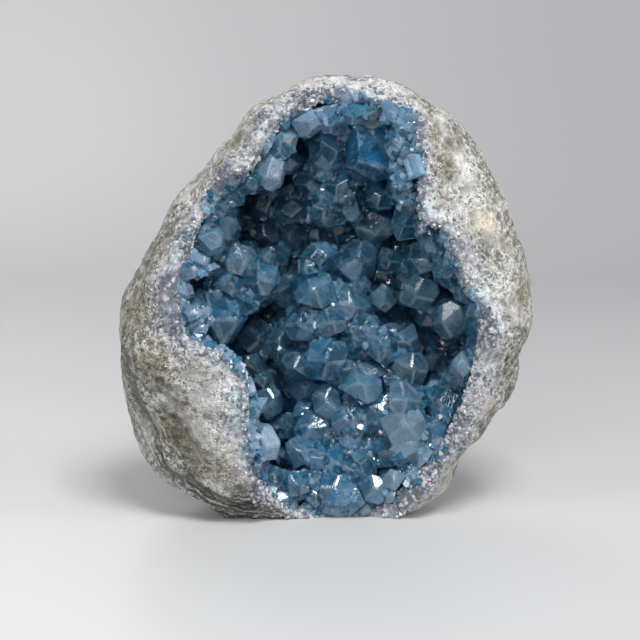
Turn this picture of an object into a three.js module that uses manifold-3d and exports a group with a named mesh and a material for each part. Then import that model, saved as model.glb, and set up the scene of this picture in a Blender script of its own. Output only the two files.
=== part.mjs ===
// Celestite geode: a stone nodule with a window broken into its front, lined with one crust of
// blue crystals. Millimetres, +Z up. The window faces -Y and the flat base lies on z = 0.
//
// The nodule is described round its own axis, which runs along Y through its middle. A place on
// it is an angle round that axis (0 at +X, 90 at the top) and a latitude (0 at the front pole,
// 90 at the widest section, 180 at the back pole), both in degrees.
import * as THREE from "three";
import { ConvexGeometry } from "three/addons/geometries/ConvexGeometry.js";
import { mergeVertices } from "three/addons/utils/BufferGeometryUtils.js";
import Module from "manifold-3d";

const wasm = await Module();
wasm.setup();

// Driving dimensions
const MIDDLE = new THREE.Vector3(0, -8, 88); // the nodule's middle
const FRONT_DEPTH = 44; // from the widest section to the front pole
const BACK_DEPTH = 60; // from the widest section to the back pole
const WALL = 7; // thickness of the stone rind
const CRUST = 6; // thickness of the massive layer that the crystals stand on
const GAP = 0.3; // between the rind and the crust
const LIP_BAND = 4; // width of the rind's broken edge, seen from the front
const LIP_ROUND = 1.4; // how far the broken edge bulges into the window
const FLOOR = 4; // least thickness of stone under the crust
const CENTRING = new THREE.Vector3(-0.5, -3.4, 0); // brings the origin under the whole's middle

// Radius of the widest section, every 15 degrees from +X over the top.
const OUTLINE_STEP = 15;
const OUTLINE = [
  83, 82.5, 83, 86, 89, 90.5, 88.5, 84.5, 77.5, 71, 71, 74.5,
  82, 86, 92, 98, 98, 96, 95, 94, 92, 85, 83, 82.5,
].map((radius, i) => [i * OUTLINE_STEP, radius]);

// Radius of the window inside its broken edge, seen from the front: [angle, radius].
const WINDOW = [
  [0, 58], [15, 52], [30, 53], [45, 50], [55, 62], [64, 78], [78, 81], [92, 79], [105, 72],
  [120, 60], [135, 61], [150, 59], [165, 57], [180, 55], [192, 53], [205, 41], [216, 38],
  [228, 44], [240, 57], [250, 74], [259, 84], [270, 88], [285, 87], [297, 80], [308, 75],
  [320, 69], [335, 64], [350, 61],
];

// The crust swells into the hollow: [x, z, radius, height towards the window].
const SWELLS = [
  [5, 72, 36, 30],
  [22, 34, 26, 20],
  [2, 124, 24, 15],
];

// Long waves that make the nodule uneven: [direction x, y, z, wavelength, height, phase].
const WAVES = [
  [0.8, 0.5, 0.3, 74, 1.5, 0.4],
  [-0.4, 0.7, 0.6, 52, 1.2, 2.1],
  [0.2, -0.6, 0.9, 39, 0.9, 4.0],
  [0.9, -0.3, -0.5, 31, 0.6, 1.2],
  [-0.5, 0.2, -0.9, 24, 0.5, 5.1],
];

// Knobs and hollows on the rind: [x, y, z, radius, height]; a negative height is a hollow.
const KNOBS = [
  [-58, -30, 62, 20, 2.5],
  [-66, -18, 36, 13, -2.6],
  [-45, -34, 30, 15, 2.0],
  [-72, -16, 92, 15, 2.2],
  [-56, -18, 128, 12, -2.0],
  [-30, -18, 158, 12, 1.8],
  [46, -24, 152, 13, -2.0],
  [58, -28, 128, 12, -2.8],
  [68, -20, 108, 15, 2.2],
  [76, -14, 66, 14, -1.8],
  [60, -18, 34, 12, 1.8],
  [-60, 28, 112, 22, -3.0],
  [-40, 44, 60, 24, 2.8],
  [20, 46, 120, 26, -3.2],
  [48, 38, 56, 20, 3.0],
  [0, 52, 84, 18, 2.4],
  [66, 22, 100, 16, -2.4],
  [0, 34, 158, 18, 2.2],
  [-14, 48, 28, 16, -2.2],
];

// Layers that break off in ledges low on the left side, and run round it as its outline does.
const LEDGE_PITCH = 13; // degrees of latitude from one ledge to the next
const LEDGE_HEIGHT = 3;
const LEDGE_MIDDLE = [232, 76]; // the angle and latitude in the middle of the ledges
const LEDGE_ANGLES = [18, 40]; // they fade out between these many degrees to either side
const LEDGE_LATITUDES = [16, 34]; // and between these many towards the front and the back
const LEDGE_TILT = 0.07; // degrees of latitude that a ledge climbs in a degree round the axis

// The crystals, each by the tip it grows to and the way it grows:
// [tip x, y, z, growth x, y, z, width, thickness, spin].
const CRYSTALS = [
  // Along the top edge of the window, left to right
  [-38, -24, 135, 0.6, -0.6, -0.5, 10, 8, 20],
  [-27, -24, 131, 0.5, -0.5, -0.7, 12, 9, 0],
  [-17, -26, 135, 0.6, -0.6, -0.5, 15, 12, 70],
  [-13, -23, 148, 0.5, -0.6, -0.6, 10, 8, 80],
  [-6, -24, 153, 0.2, -0.6, -0.8, 13, 10, 10],
  [3, -20, 152, 0.0, -0.5, -0.85, 14, 11, 50],
  [11, -24, 156, 0.0, -0.5, -0.85, 12, 10, 30],
  [18, -25, 158, 0.0, -0.5, -0.85, 9, 8, 75],
  [26, -21, 158, -0.1, -0.5, -0.85, 10, 9, 15],
  [19, -17, 134, 0.05, -0.4, -0.9, 24, 19, 35],
  // Behind them, hanging from the top of the hollow
  [1, -6, 136, 0.05, -0.4, -0.9, 17, 14, 25],
  [-14, -10, 137, 0.4, -0.5, -0.8, 10, 8, 55],
  [-6, -4, 128, 0.0, -0.7, -0.7, 11, 9, 0],
  [5, -6, 127, 0.05, -0.7, -0.7, 13, 10, 65],
  [0, 0, 115, 0.0, -0.7, -0.7, 17, 15, 40],
  [10, -3, 117, 0.05, -0.7, -0.7, 12, 10, 80],
  [-14, 6, 117, 0.1, -0.8, -0.6, 14, 12, 15],
  [-24, 8, 119, 0.3, -0.8, -0.5, 13, 11, 50],
  [21, -3, 122, -0.1, -0.7, -0.7, 14, 12, 10],
  [27, -10, 126, -0.3, -0.6, -0.7, 13, 11, 70],
  [20, 5, 111, 0.0, -0.9, -0.3, 18, 15, 20],
  [-7, 9, 120, 0.0, -0.8, -0.5, 14, 12, 30],
  // Down the right side
  [30, -20, 126, -0.85, -0.5, -0.1, 11, 9, 25],
  [25, -14, 117, -0.9, -0.4, -0.1, 15, 12, 75],
  [37, -20, 110, -0.85, -0.5, 0.0, 11, 9, 20],
  [42, -17, 99, -0.85, -0.5, 0.0, 16, 13, 45],
  [57, -24, 89, -0.8, -0.6, 0.0, 11, 9, 10],
  [46, -12, 78, -0.6, -0.8, 0.0, 19, 18, 30],
  [36, -4, 88, -0.3, -0.95, 0.05, 17, 17, 0],
  [50, -25, 62, -0.8, -0.55, 0.1, 11, 9, 35],
  [43, -17, 47, -0.6, -0.8, 0.1, 18, 15, 70],
  [34, -3, 102, -0.5, -0.85, 0.0, 16, 14, 30],
  [37, -26, 26, -0.7, -0.5, 0.5, 13, 11, 65],
  // Down the left side
  [-34, -15, 118, 0.8, -0.6, -0.1, 20, 18, 80],
  [-40, -24, 111, 0.8, -0.55, 0.0, 12, 11, 35],
  [-32, -11, 102, 0.5, -0.85, 0.0, 15, 13, 50],
  [-20, -10, 94, 0.75, -0.65, 0.0, 15, 12, 75],
  [-36, -12, 93, 0.6, -0.8, 0.0, 11, 10, 40],
  [-34, -13, 79, 0.8, -0.6, 0.0, 25, 20, 85],
  [-47, -27, 83, 0.85, -0.5, 0.0, 13, 11, 55],
  [-27, 5, 69, 0.4, -0.9, 0.0, 18, 16, 20],
  [-27, 3, 55, 0.5, -0.85, 0.1, 18, 15, 60],
  [-21, -2, 44, 0.4, -0.9, 0.2, 15, 14, 5],
  [-25, -19, 45, 0.9, -0.3, 0.1, 10, 8, 40],
  [-17, -32, 33, 0.95, -0.3, 0.0, 18, 15, 30],
  // Deep on the left, behind the swell
  [-24, 9, 110, 0.2, -1.0, -0.1, 13, 11, 75],
  [-15, 11, 109, 0.0, -1.0, -0.1, 15, 13, 5],
  [-20, 7, 100, 0.1, -1.0, 0.0, 15, 14, 45],
  [-24, 5, 87, 0.4, -0.9, 0.0, 15, 13, 25],
  [-19, 3, 67, 0.1, -1.0, 0.0, 14, 12, 40],
  // The swell in the middle, top to bottom
  [-3, -4, 108, -0.05, -0.7, 0.7, 13, 11, 0],
  [14, 1, 101, 0.1, -1.0, 0.15, 19, 17, 55],
  [26, 5, 101, 0.0, -1.0, 0.1, 12, 11, 25],
  [-5, -7, 91, -0.1, -1.0, 0.2, 21, 16, 70],
  [24, -1, 86, 0.1, -1.0, 0.1, 13, 12, 10],
  [11, -6, 84, 0.1, -1.0, 0.1, 16, 14, 45],
  [-11, -6, 76, -0.3, -1.0, 0.1, 16, 14, 20],
  [2, -10, 78, 0.0, -1.0, 0.2, 15, 12, 60],
  [16, -8, 74, 0.1, -1.0, 0.0, 15, 13, 30],
  [33, -8, 69, 0.1, -1.0, 0.1, 14, 11, 75],
  [24, -11, 66, 0.2, -1.0, -0.1, 16, 12, 15],
  [0, -13, 62, 0.0, -1.0, 0.05, 21, 19, 35],
  [-14, -5, 58, -0.4, -1.0, 0.0, 15, 14, 80],
  [35, -12, 59, 0.1, -1.0, 0.1, 17, 14, 40],
  [14, -15, 54, 0.0, -0.95, 0.3, 20, 11, 60],
  // The slope down to the base
  [0, -9, 46, -0.1, -1.0, 0.3, 16, 11, 5],
  [32, -17, 48, 0.1, -0.95, 0.3, 18, 14, 50],
  [21, -13, 41, 0.1, -1.0, 0.2, 11, 10, 20],
  [8, -12, 39, 0.0, -1.0, 0.4, 15, 13, 70],
  [-7, -9, 35, -0.2, -1.0, 0.3, 17, 13, 25],
  [32, -21, 38, 0.05, -0.95, 0.3, 22, 18, 80],
  [35, -21, 29, 0.1, -1.0, 0.2, 14, 12, 10],
  [27, -16, 26, -0.1, -1.0, 0.1, 15, 15, 45],
  [-11, -13, 26, -0.1, -1.0, 0.2, 14, 13, 65],
  [2, -15, 24, 0.0, -1.0, 0.3, 20, 16, 30],
  [14, -17, 20, 0.0, -1.0, 0.2, 15, 14, 0],
  [-20, -22, 18, 0.6, -0.7, 0.4, 13, 11, 50],
  [-11, -25, 15, 0.0, -1.0, 0.3, 11, 9, 55],
  [4, -25, 13, 0.0, -1.0, 0.3, 17, 14, 35],
  [20, -23, 13, 0.0, -1.0, 0.3, 15, 11, 75],
  [27, -24, 17, 0.0, -0.9, 0.4, 9, 8, 15],
  [11, -25, 8, 0.0, -1.0, 0.1, 10, 9, 80],
];

// A crystal this wide or wider has two flat sides between its sloping ones
const SLAB_WIDTH = 15;

// A crystal's shortest length over its foot, and how deep it goes on into the massive layer
const SHORTEST = 6;
const ROOT = 5;
const CHISEL = 0.8; // length of the edge that a tip ends in

// Angles of a crystal's faces to its own axes, in degrees: its sides, its root, and the range
// of the two pairs that make its tip
const SIDE_SLOPE = 38;
const ROOT_SLOPE = 30;
const TIP_SLOPE = [24, 42];
const END_SLOPE = [18, 40];
const UNEVEN = [0.88, 1.12]; // range by which a side stands nearer to the axis or further off

// How finely the curved surfaces are divided
const ANGLES = 50;
const BACK_RINGS = 6;
const FRONT_RINGS = 11;
const INNER_RINGS = 4;
const REACH = 40; // how far the space for crystals runs on in front of the lip
const SHORT_OF_LIP = 0.08; // share of the last ring that the massive layer leaves free
const TOP_START = 5; // degrees from the lip to the massive layer's top
const SPACE_START = 3; // degrees from the lip to where the space for crystals leaves the wall
const FACING_FULL = 0.7; // a wall that faces the window by this much swells fully

const radians = THREE.MathUtils.degToRad;
const degrees = THREE.MathUtils.radToDeg;
const mix = THREE.MathUtils.lerp;
const smoothstep = THREE.MathUtils.smoothstep;

// A number from 0 to 1 that looks random and is the same every time.
function chance(index, salt) {
  const s = Math.sin(index * 12.9898 + salt * 78.233) * 43758.5453;
  return s - Math.floor(s);
}

// A smooth closed curve of values through [angle, value] pairs, read at any angle in degrees.
function around(pairs) {
  const n = pairs.length;
  const knot = (i) => {
    const turn = Math.floor(i / n);
    const [angle, value] = pairs[i - turn * n];
    return [angle + 360 * turn, value];
  };
  const slope = (i) => {
    const [a0, v0] = knot(i - 1);
    const [a1, v1] = knot(i + 1);
    return (v1 - v0) / (a1 - a0);
  };
  return (angle) => {
    const a = THREE.MathUtils.euclideanModulo(angle - pairs[0][0], 360) + pairs[0][0];
    let i = 0;
    while (knot(i + 1)[0] <= a) i++;
    const [a0, v0] = knot(i);
    const [a1, v1] = knot(i + 1);
    const span = a1 - a0;
    const t = (a - a0) / span;
    const m0 = slope(i) * span;
    const m1 = slope(i + 1) * span;
    return (
      (2 * t ** 3 - 3 * t ** 2 + 1) * v0 +
      (t ** 3 - 2 * t ** 2 + t) * m0 +
      (3 * t ** 2 - 2 * t ** 3) * v1 +
      (t ** 3 - t ** 2) * m1
    );
  };
}

const outlineRadius = around(OUTLINE);
const windowRadius = around(WINDOW);

// The nodule's smooth surface at an angle and latitude, and its outward normal there.
function place(angle, latitude) {
  const a = radians(angle);
  const l = radians(latitude);
  const radius = outlineRadius(angle);
  const depth = latitude < 90 ? FRONT_DEPTH : BACK_DEPTH;
  const out = new THREE.Vector3(Math.cos(a), 0, Math.sin(a));
  const round = new THREE.Vector3(-Math.sin(a), 0, Math.cos(a));
  const r = radius * Math.sin(l);
  const y = -depth * Math.cos(l);
  const growth = (outlineRadius(angle + 1) - outlineRadius(angle - 1)) / radians(2);
  const normal = out
    .clone()
    .multiplyScalar(r / radius ** 2)
    .addScaledVector(round, (-r * growth) / radius ** 3);
  normal.y += y / depth ** 2;
  const point = out.multiplyScalar(r).add(MIDDLE);
  point.y += y;
  return { point, normal: normal.normalize() };
}

// The latitude at which the window cuts the nodule's surface.
function lipLatitude(angle) {
  const share = (windowRadius(angle) + LIP_BAND) / outlineRadius(angle);
  return degrees(Math.asin(Math.min(share, 1)));
}

// The way along the surface that leads from the lip into the window.
function lipWay(angle, lip) {
  return place(angle, lip - 1).point.sub(place(angle, lip + 1).point).normalize();
}

// How far the broken layers stand out at a place, a step from each one to the next.
function ledges(angle, latitude) {
  const along = Math.abs(angle - LEDGE_MIDDLE[0]);
  const across = Math.abs(latitude - LEDGE_MIDDLE[1]);
  const here = (1 - smoothstep(along, ...LEDGE_ANGLES)) * (1 - smoothstep(across, ...LEDGE_LATITUDES));
  const layer = (latitude + LEDGE_TILT * angle) / LEDGE_PITCH;
  return LEDGE_HEIGHT * here * (layer - Math.floor(layer) - 0.5);
}

// How far the weathered surface stands out from the smooth one.
function relief(p) {
  let height = 0;
  for (const [x, y, z, length, amount, phase] of WAVES)
    height += amount * Math.sin((2 * Math.PI * (x * p.x + y * p.y + z * p.z)) / length + phase);
  for (const [x, y, z, radius, amount] of KNOBS) {
    const d = p.distanceTo(new THREE.Vector3(x, y, z)) / radius;
    height += amount * Math.exp(-d * d);
  }
  return height;
}

// How far the crust swells towards the window in front of a point on its wall. Facing is how
// squarely the wall there faces the window, from 0 to 1.
function swell(p, facing) {
  let height = 0;
  for (const [x, z, radius, amount] of SWELLS) {
    const d2 = ((p.x - x) ** 2 + (p.z - z) ** 2) / radius ** 2;
    height += amount * Math.exp(-d2);
  }
  return height * smoothstep(facing, 0, FACING_FULL);
}

// True where a point lies in the massive layer or behind it.
function buried(p) {
  const away = p.clone().sub(MIDDLE);
  const angle = degrees(Math.atan2(away.z, away.x));
  if (away.y < 0 && Math.hypot(away.x, away.z) < windowRadius(angle)) return false;
  const radius = outlineRadius(angle) - WALL - CRUST;
  const depth = (away.y < 0 ? FRONT_DEPTH : BACK_DEPTH) - WALL - CRUST;
  const steep = new THREE.Vector3(away.x / radius ** 2, away.y / depth ** 2, away.z / radius ** 2);
  away.y += swell(p, steep.normalize().y);
  return (away.x ** 2 + away.z ** 2) / radius ** 2 + (away.y / depth) ** 2 > 1;
}

// A closed surface from one profile for each angle. Every profile has the same number of points
// and the same first and last point. Each four-sided field is split along its shorter diagonal,
// so that surfaces a few millimetres apart are split alike.
function roundBody(profile) {
  const rows = Array.from({ length: ANGLES }, (_, i) => profile((i * 360) / ANGLES));
  const inner = rows[0].length - 2;
  const points = [rows[0][0], rows[0].at(-1), ...rows.flatMap((row) => row.slice(1, -1))];
  const at = (i, j) => 2 + (i % ANGLES) * inner + j;
  const faces = [];
  for (let i = 0; i < ANGLES; i++) {
    faces.push(0, at(i + 1, 0), at(i, 0));
    faces.push(1, at(i, inner - 1), at(i + 1, inner - 1));
    for (let j = 0; j < inner - 1; j++) {
      const [a, b, c, d] = [at(i, j), at(i + 1, j), at(i + 1, j + 1), at(i, j + 1)];
      if (points[a].distanceTo(points[c]) < points[b].distanceTo(points[d]))
        faces.push(a, b, c, a, c, d);
      else faces.push(a, b, d, b, c, d);
    }
  }
  return new THREE.BufferGeometry().setFromPoints(points).setIndex(faces);
}

function solid(geometry) {
  const bare = geometry.clone();
  bare.deleteAttribute("normal");
  bare.deleteAttribute("uv");
  const merged = mergeVertices(bare, 1e-4);
  const mesh = new wasm.Mesh({
    numProp: 3,
    vertProperties: new Float32Array(merged.attributes.position.array),
    triVerts: new Uint32Array(merged.index.array),
  });
  return new wasm.Manifold(mesh);
}

// The nodule's weathered surface.
function outside(angle, latitude) {
  const { point, normal } = place(angle, latitude);
  return point.addScaledVector(normal, relief(point) + ledges(angle, latitude));
}

// The smooth surface that lies a depth inside the nodule, and the same depth past the wall's
// least thickness over the base.
function inside(angle, latitude, depth) {
  const { point, normal } = place(angle, latitude);
  point.addScaledVector(normal, -depth);
  return point.setZ(Math.max(point.z, FLOOR + depth - WALL));
}

// The rind as a cup with its base cut flat: its weathered outside, its rounded broken edge and
// its inner wall.
function rindBody() {
  const cup = roundBody((angle) => {
    const lip = lipLatitude(angle);
    const edge = (share) =>
      outside(angle, lip)
        .lerp(inside(angle, lip, WALL), share)
        .addScaledVector(lipWay(angle, lip), LIP_ROUND);
    const profile = [];
    for (let j = 0; j < BACK_RINGS; j++)
      profile.push(outside(angle, mix(180, 90, j / BACK_RINGS)));
    for (let j = 0; j <= FRONT_RINGS; j++)
      profile.push(outside(angle, mix(90, lip, j / FRONT_RINGS)));
    profile.push(edge(0.25), edge(0.75));
    for (let j = 0; j <= INNER_RINGS; j++)
      profile.push(inside(angle, mix(lip, 180, j / INNER_RINGS), WALL));
    return profile;
  });
  const size = 2 * (FRONT_DEPTH + BACK_DEPTH);
  const ground = new THREE.BoxGeometry(size, size, size).translate(0, 0, -size / 2);
  return solid(cup).subtract(solid(ground));
}

// The massive layer under the crystals. Its back is divided as the rind's inner wall is, and
// stops a little short of the rind's broken edge.
function massiveLayer() {
  return solid(
    roundBody((angle) => {
      const lip = lipLatitude(angle);
      const back = (j) => inside(angle, mix(180, lip, j / INNER_RINGS), WALL + 3 * GAP);
      const top = (latitude) => {
        const p = inside(angle, latitude, WALL + CRUST);
        p.y -= swell(p, place(angle, latitude).normal.y);
        return p;
      };
      const profile = [];
      for (let j = 0; j < INNER_RINGS; j++) profile.push(back(j));
      profile.push(back(INNER_RINGS).lerp(back(INNER_RINGS - 1), SHORT_OF_LIP));
      for (let j = 0; j <= INNER_RINGS; j++)
        profile.push(top(mix(lip + TOP_START, 180, j / INNER_RINGS)));
      return profile;
    }),
  );
}

// The space that crystals may fill: down to the middle of the massive layer, past the rind's
// broken edge, and straight on out of the window. Where the window reaches the base, the
// crystals hang over the edge almost to the ground.
function crystalSpace() {
  return solid(
    roundBody((angle) => {
      const lip = lipLatitude(angle);
      const deep = WALL + CRUST / 2;
      const start = lip + SPACE_START;
      const profile = [];
      for (let j = 0; j < INNER_RINGS; j++)
        profile.push(inside(angle, mix(180, start, j / (INNER_RINGS - 1)), deep));
      const past = LIP_ROUND + 2 * GAP;
      const edge = inside(angle, lip, WALL + GAP).addScaledVector(lipWay(angle, lip), past);
      const front = edge.clone().setY(edge.y - GAP);
      const outer = outside(angle, lip);
      if (outer.z < FLOOR) front.set(edge.x, outer.y - past, GAP);
      profile.push(edge, front, front.clone().setY(MIDDLE.y - FRONT_DEPTH - REACH));
      profile.push(new THREE.Vector3(MIDDLE.x, MIDDLE.y - FRONT_DEPTH - REACH, MIDDLE.z));
      return profile;
    }),
  );
}

// The corners of the convex body that lies under every plane.
function cornersOf(planes) {
  const corners = [];
  const matrix = new THREE.Matrix3();
  planes.forEach(([a, da], i) =>
    planes.slice(i + 1).forEach(([b, db], j) =>
      planes.slice(i + j + 2).forEach(([c, dc]) => {
        matrix.set(a.x, a.y, a.z, b.x, b.y, b.z, c.x, c.y, c.z);
        if (Math.abs(matrix.determinant()) < 1e-4) return;
        const corner = new THREE.Vector3(da, db, dc).applyMatrix3(matrix.invert());
        if (planes.every(([n, d]) => n.dot(corner) < d + 1e-3)) corners.push(corner);
      }),
    ),
  );
  return corners;
}

// One crystal: four sloping sides and a four-sided tip, cut from planes. It grows along its own
// +Z from a wedge-shaped root to z = proud. A wide one is a slab with two flat sides as well.
function crystal(width, thickness, proud, index) {
  const planes = [];
  const face = (x, y, z, distance) => planes.push([new THREE.Vector3(x, y, z), distance]);
  const vary = (salt) => mix(...UNEVEN, chance(index, salt));
  const side = radians(SIDE_SLOPE);
  const root = radians(ROOT_SLOPE);
  for (const sign of [-1, 1]) {
    const tip = radians(mix(...TIP_SLOPE, chance(index, 9 + sign)));
    const end = radians(mix(...END_SLOPE, chance(index, 12 + sign)));
    face(0, sign * Math.sin(tip), Math.cos(tip), proud * Math.cos(tip));
    face(sign * Math.sin(end), 0, Math.cos(end), (proud - CHISEL) * Math.cos(end));
    face(0, sign * Math.sin(root), -Math.cos(root), ROOT * Math.cos(root));
    if (width >= SLAB_WIDTH) face(sign, 0, 0, (thickness / 2) * vary(3 + sign));
    for (const across of [-1, 1]) {
      const reach = (width / 2) * Math.cos(side) * vary(20 + 3 * sign + across);
      face(sign * Math.sin(side), across * Math.cos(side), 0, reach);
    }
  }
  return cornersOf(planes);
}

// A crystal turned to where it grows, with its foot at the place given.
function planted(corners, foot, growth, spin) {
  const turn = new THREE.Quaternion().setFromUnitVectors(new THREE.Vector3(0, 0, 1), growth);
  const roll = new THREE.Quaternion().setFromAxisAngle(new THREE.Vector3(0, 0, 1), radians(spin));
  const matrix = new THREE.Matrix4().compose(foot, turn.multiply(roll), new THREE.Vector3(1, 1, 1));
  return solid(new ConvexGeometry(corners.map((corner) => corner.clone().applyMatrix4(matrix))));
}

// All the crystals, each with its foot where its axis meets the massive layer.
function plantedCrystals() {
  return CRYSTALS.map(([x, y, z, gx, gy, gz, width, thickness, spin], index) => {
    const growth = new THREE.Vector3(gx, gy, gz).normalize();
    let length = SHORTEST;
    const foot = new THREE.Vector3(x, y, z).addScaledVector(growth, -length);
    while (!buried(foot) && length < BACK_DEPTH) {
      foot.addScaledVector(growth, -1);
      length++;
    }
    return planted(crystal(width, thickness, length, index), foot, growth, spin);
  });
}

// The body that holds most of a solid, where cuts have left crumbs beside it.
function largestPart(whole) {
  return whole.decompose().reduce((a, b) => (b.volume() > a.volume() ? b : a));
}

function meshOf(name, whole, material) {
  const { numProp, vertProperties, triVerts } = whole.getMesh();
  const geometry = new THREE.BufferGeometry()
    .setAttribute("position", new THREE.BufferAttribute(vertProperties, numProp))
    .setIndex(new THREE.BufferAttribute(triVerts, 1));
  const mesh = new THREE.Mesh(geometry, material);
  mesh.name = name;
  return mesh;
}

const stone = new THREE.MeshStandardMaterial({ color: 0xa9a498, roughness: 0.9, metalness: 0 });
const celestite = new THREE.MeshStandardMaterial({ color: 0x5f87a6, roughness: 0.15, metalness: 0 });

const crystals = wasm.Manifold.union(plantedCrystals());
const crust = crystals.intersect(crystalSpace()).add(massiveLayer());

const geode = new THREE.Group();
geode.position.copy(CENTRING);
geode.add(meshOf("rind", largestPart(rindBody()), stone));
geode.add(meshOf("crystal_crust", largestPart(crust), celestite));

export default geode;
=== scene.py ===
"""A celestite geode: a stone nodule broken open at the front and lined with clear blue crystals.

Shapes are worked out in millimetres round the nodule's own axis, which runs along Y through its
middle. A place on it is an angle round that axis (0 at +X, 90 at the top) and a latitude (0 at
the front pole, 90 at the widest section, 180 at the back pole), both in degrees.
"""

import itertools
import math

import bmesh
import bpy
import numpy as np
from mathutils import Matrix, Vector


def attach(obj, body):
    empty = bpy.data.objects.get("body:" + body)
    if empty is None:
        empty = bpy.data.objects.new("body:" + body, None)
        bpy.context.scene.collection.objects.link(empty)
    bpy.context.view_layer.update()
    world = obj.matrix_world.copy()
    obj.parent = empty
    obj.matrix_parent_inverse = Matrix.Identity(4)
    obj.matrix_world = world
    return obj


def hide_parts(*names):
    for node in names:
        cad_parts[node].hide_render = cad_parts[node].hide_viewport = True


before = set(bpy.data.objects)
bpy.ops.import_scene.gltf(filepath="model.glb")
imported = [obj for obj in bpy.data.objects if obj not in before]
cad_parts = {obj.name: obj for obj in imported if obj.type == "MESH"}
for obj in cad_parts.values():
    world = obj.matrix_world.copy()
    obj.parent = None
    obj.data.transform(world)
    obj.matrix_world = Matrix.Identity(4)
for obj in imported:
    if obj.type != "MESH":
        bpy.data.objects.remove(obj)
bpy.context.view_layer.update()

# ---------------------------------------------------------------------------------------------
# View: a long lens at the height of a low tripod, looking a little down into the open side.
# ---------------------------------------------------------------------------------------------
LOOK_AT = Vector((0.0, -0.003, 0.088))
LOOK_DOWN = math.radians(8)
DISTANCE = 0.72
FOCAL_LENGTH = 100
SENSOR = 36
FRAMING = (-0.011, -0.042)  # how far the picture's middle lies from the geode's, in widths

camera = bpy.data.objects.new("camera", bpy.data.cameras.new("camera"))
bpy.context.scene.collection.objects.link(camera)
backwards = Vector((0, -math.cos(LOOK_DOWN), math.sin(LOOK_DOWN)))
camera.location = LOOK_AT + DISTANCE * backwards
camera.rotation_euler = backwards.to_track_quat("Z", "Y").to_euler()
camera.data.lens = FOCAL_LENGTH
camera.data.sensor_width = SENSOR
camera.data.shift_x, camera.data.shift_y = FRAMING
bpy.context.scene.camera = camera

# ---------------------------------------------------------------------------------------------
# Floor: one pale sheet of matt board that lies flat under the geode and curves up behind it.
# ---------------------------------------------------------------------------------------------
BOARD_WIDTH = 4000
BOARD_FRONT = -2000
BOARD_BACK = 1200
BOARD_HEIGHT = 2000
BOARD_BEND = 500
BOARD_BEND_STEPS = 16
BOARD_COLOUR = (0.50, 0.50, 0.50, 1)
BOARD_ROUGHNESS = 0.5


class Wire:
    """The output of a shader node. Arithmetic on it adds Math nodes."""

    def __init__(self, finish, socket):
        self.finish = finish
        self.socket = socket

    def maths(self, operation, *values):
        return self.finish.node("Math", {"operation": operation}, dict(enumerate(values)))

    def __add__(self, other):
        return self.maths("ADD", self, other)

    def __sub__(self, other):
        return self.maths("SUBTRACT", self, other)

    def __rsub__(self, other):
        return self.maths("SUBTRACT", other, self)

    def __mul__(self, other):
        return self.maths("MULTIPLY", self, other)

    __radd__ = __add__
    __rmul__ = __mul__

    def larger(self, other):
        return self.maths("MAXIMUM", self, other)


class Finish:
    """A material while it is put together from shader nodes."""

    def __init__(self, name):
        self.material = bpy.data.materials.new(name)
        self.material.use_nodes = True
        self.tree = self.material.node_tree
        self.tree.nodes.clear()

    def node(self, kind, settings=None, sockets=None, output=0):
        """Adds a node, makes its settings, then gives its sockets their values or links."""
        made = self.tree.nodes.new("ShaderNode" + kind)
        for name, setting in (settings or {}).items():
            setattr(made, name, setting)
        for name, value in (sockets or {}).items():
            if isinstance(value, Wire):
                self.tree.links.new(value.socket, made.inputs[name])
            else:
                made.inputs[name].default_value = value
        return Wire(self, made.outputs[output] if made.outputs else None)

    def place(self):
        """Where a point lies on the object, in metres."""
        return self.node("TexCoord", None, None, "Object")

    def number(self, name):
        """A number that the mesh carries at each of its points."""
        return self.node("Attribute", {"attribute_name": name}, None, "Fac")

    def step(self, value, painted_low_shade, high):
        """0 where the value is below low, 1 where it is above high, and smooth between them."""
        bounds = {"Value": value, "From Min": painted_low_shade, "From Max": high}
        return self.node("MapRange", {"interpolation_type": "SMOOTHSTEP"}, bounds)

    def noise(self, place, size, detail=2.0, roughness=0.5, twist=0.0):
        """Soft noise from 0 to 1, with spots about as large as the size, which is in mm."""
        sockets = {"Vector": place, "Scale": 1000 / size, "Detail": detail}
        sockets |= {"Roughness": roughness, "Distortion": twist}
        return self.node("TexNoise", None, sockets)

    def cells(self, place, size):
        """One number for each of many cells about as large as the size, which is in mm. It is the
        grey of the colour that the node gives the cell."""
        return self.node("TexVoronoi", None, {"Vector": place, "Scale": 1000 / size}, "Color")

    def blend(self, share, first, second):
        """Two colours mixed by a share, 0 for the first and 1 for the second."""
        first, second = ((*c, 1) if isinstance(c, tuple) else c for c in (first, second))
        return self.node("Mix", {"data_type": "RGBA"}, {0: share, 6: first, 7: second}, 2)

    def done(self, surface, volume=None):
        """Ends the material in its output node."""
        sockets = {"Surface": surface} | ({"Volume": volume} if volume else {})
        self.node("OutputMaterial", None, sockets)
        return self.material


def made_mesh(name, points, faces, material, smooth):
    """A piece from points in mm and faces of corner numbers."""
    mesh = bpy.data.meshes.new(name)
    mesh.from_pydata(points / 1000, [], faces)
    mesh.materials.append(material)
    if smooth:
        mesh.shade_smooth()
    else:
        mesh.shade_flat()
    made = bpy.data.objects.new(name, mesh)
    bpy.context.scene.collection.objects.link(made)
    return made


def board_points():
    """The board's profile, a flat stretch, a quarter circle of radius BOARD_BEND and an upright
    stretch, once at each of its two sides."""
    turn = np.linspace(0, math.pi / 2, BOARD_BEND_STEPS + 1)
    bend_y = BOARD_BACK - BOARD_BEND * (1 - np.sin(turn))
    bend_z = BOARD_BEND * (1 - np.cos(turn))
    y = np.concatenate(([BOARD_FRONT], bend_y, [BOARD_BACK]))
    z = np.concatenate(([0], bend_z, [BOARD_HEIGHT]))
    sides = [np.column_stack((np.full(y.shape, x), y, z)) for x in (-BOARD_WIDTH / 2, BOARD_WIDTH / 2)]
    return np.concatenate(sides)


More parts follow.
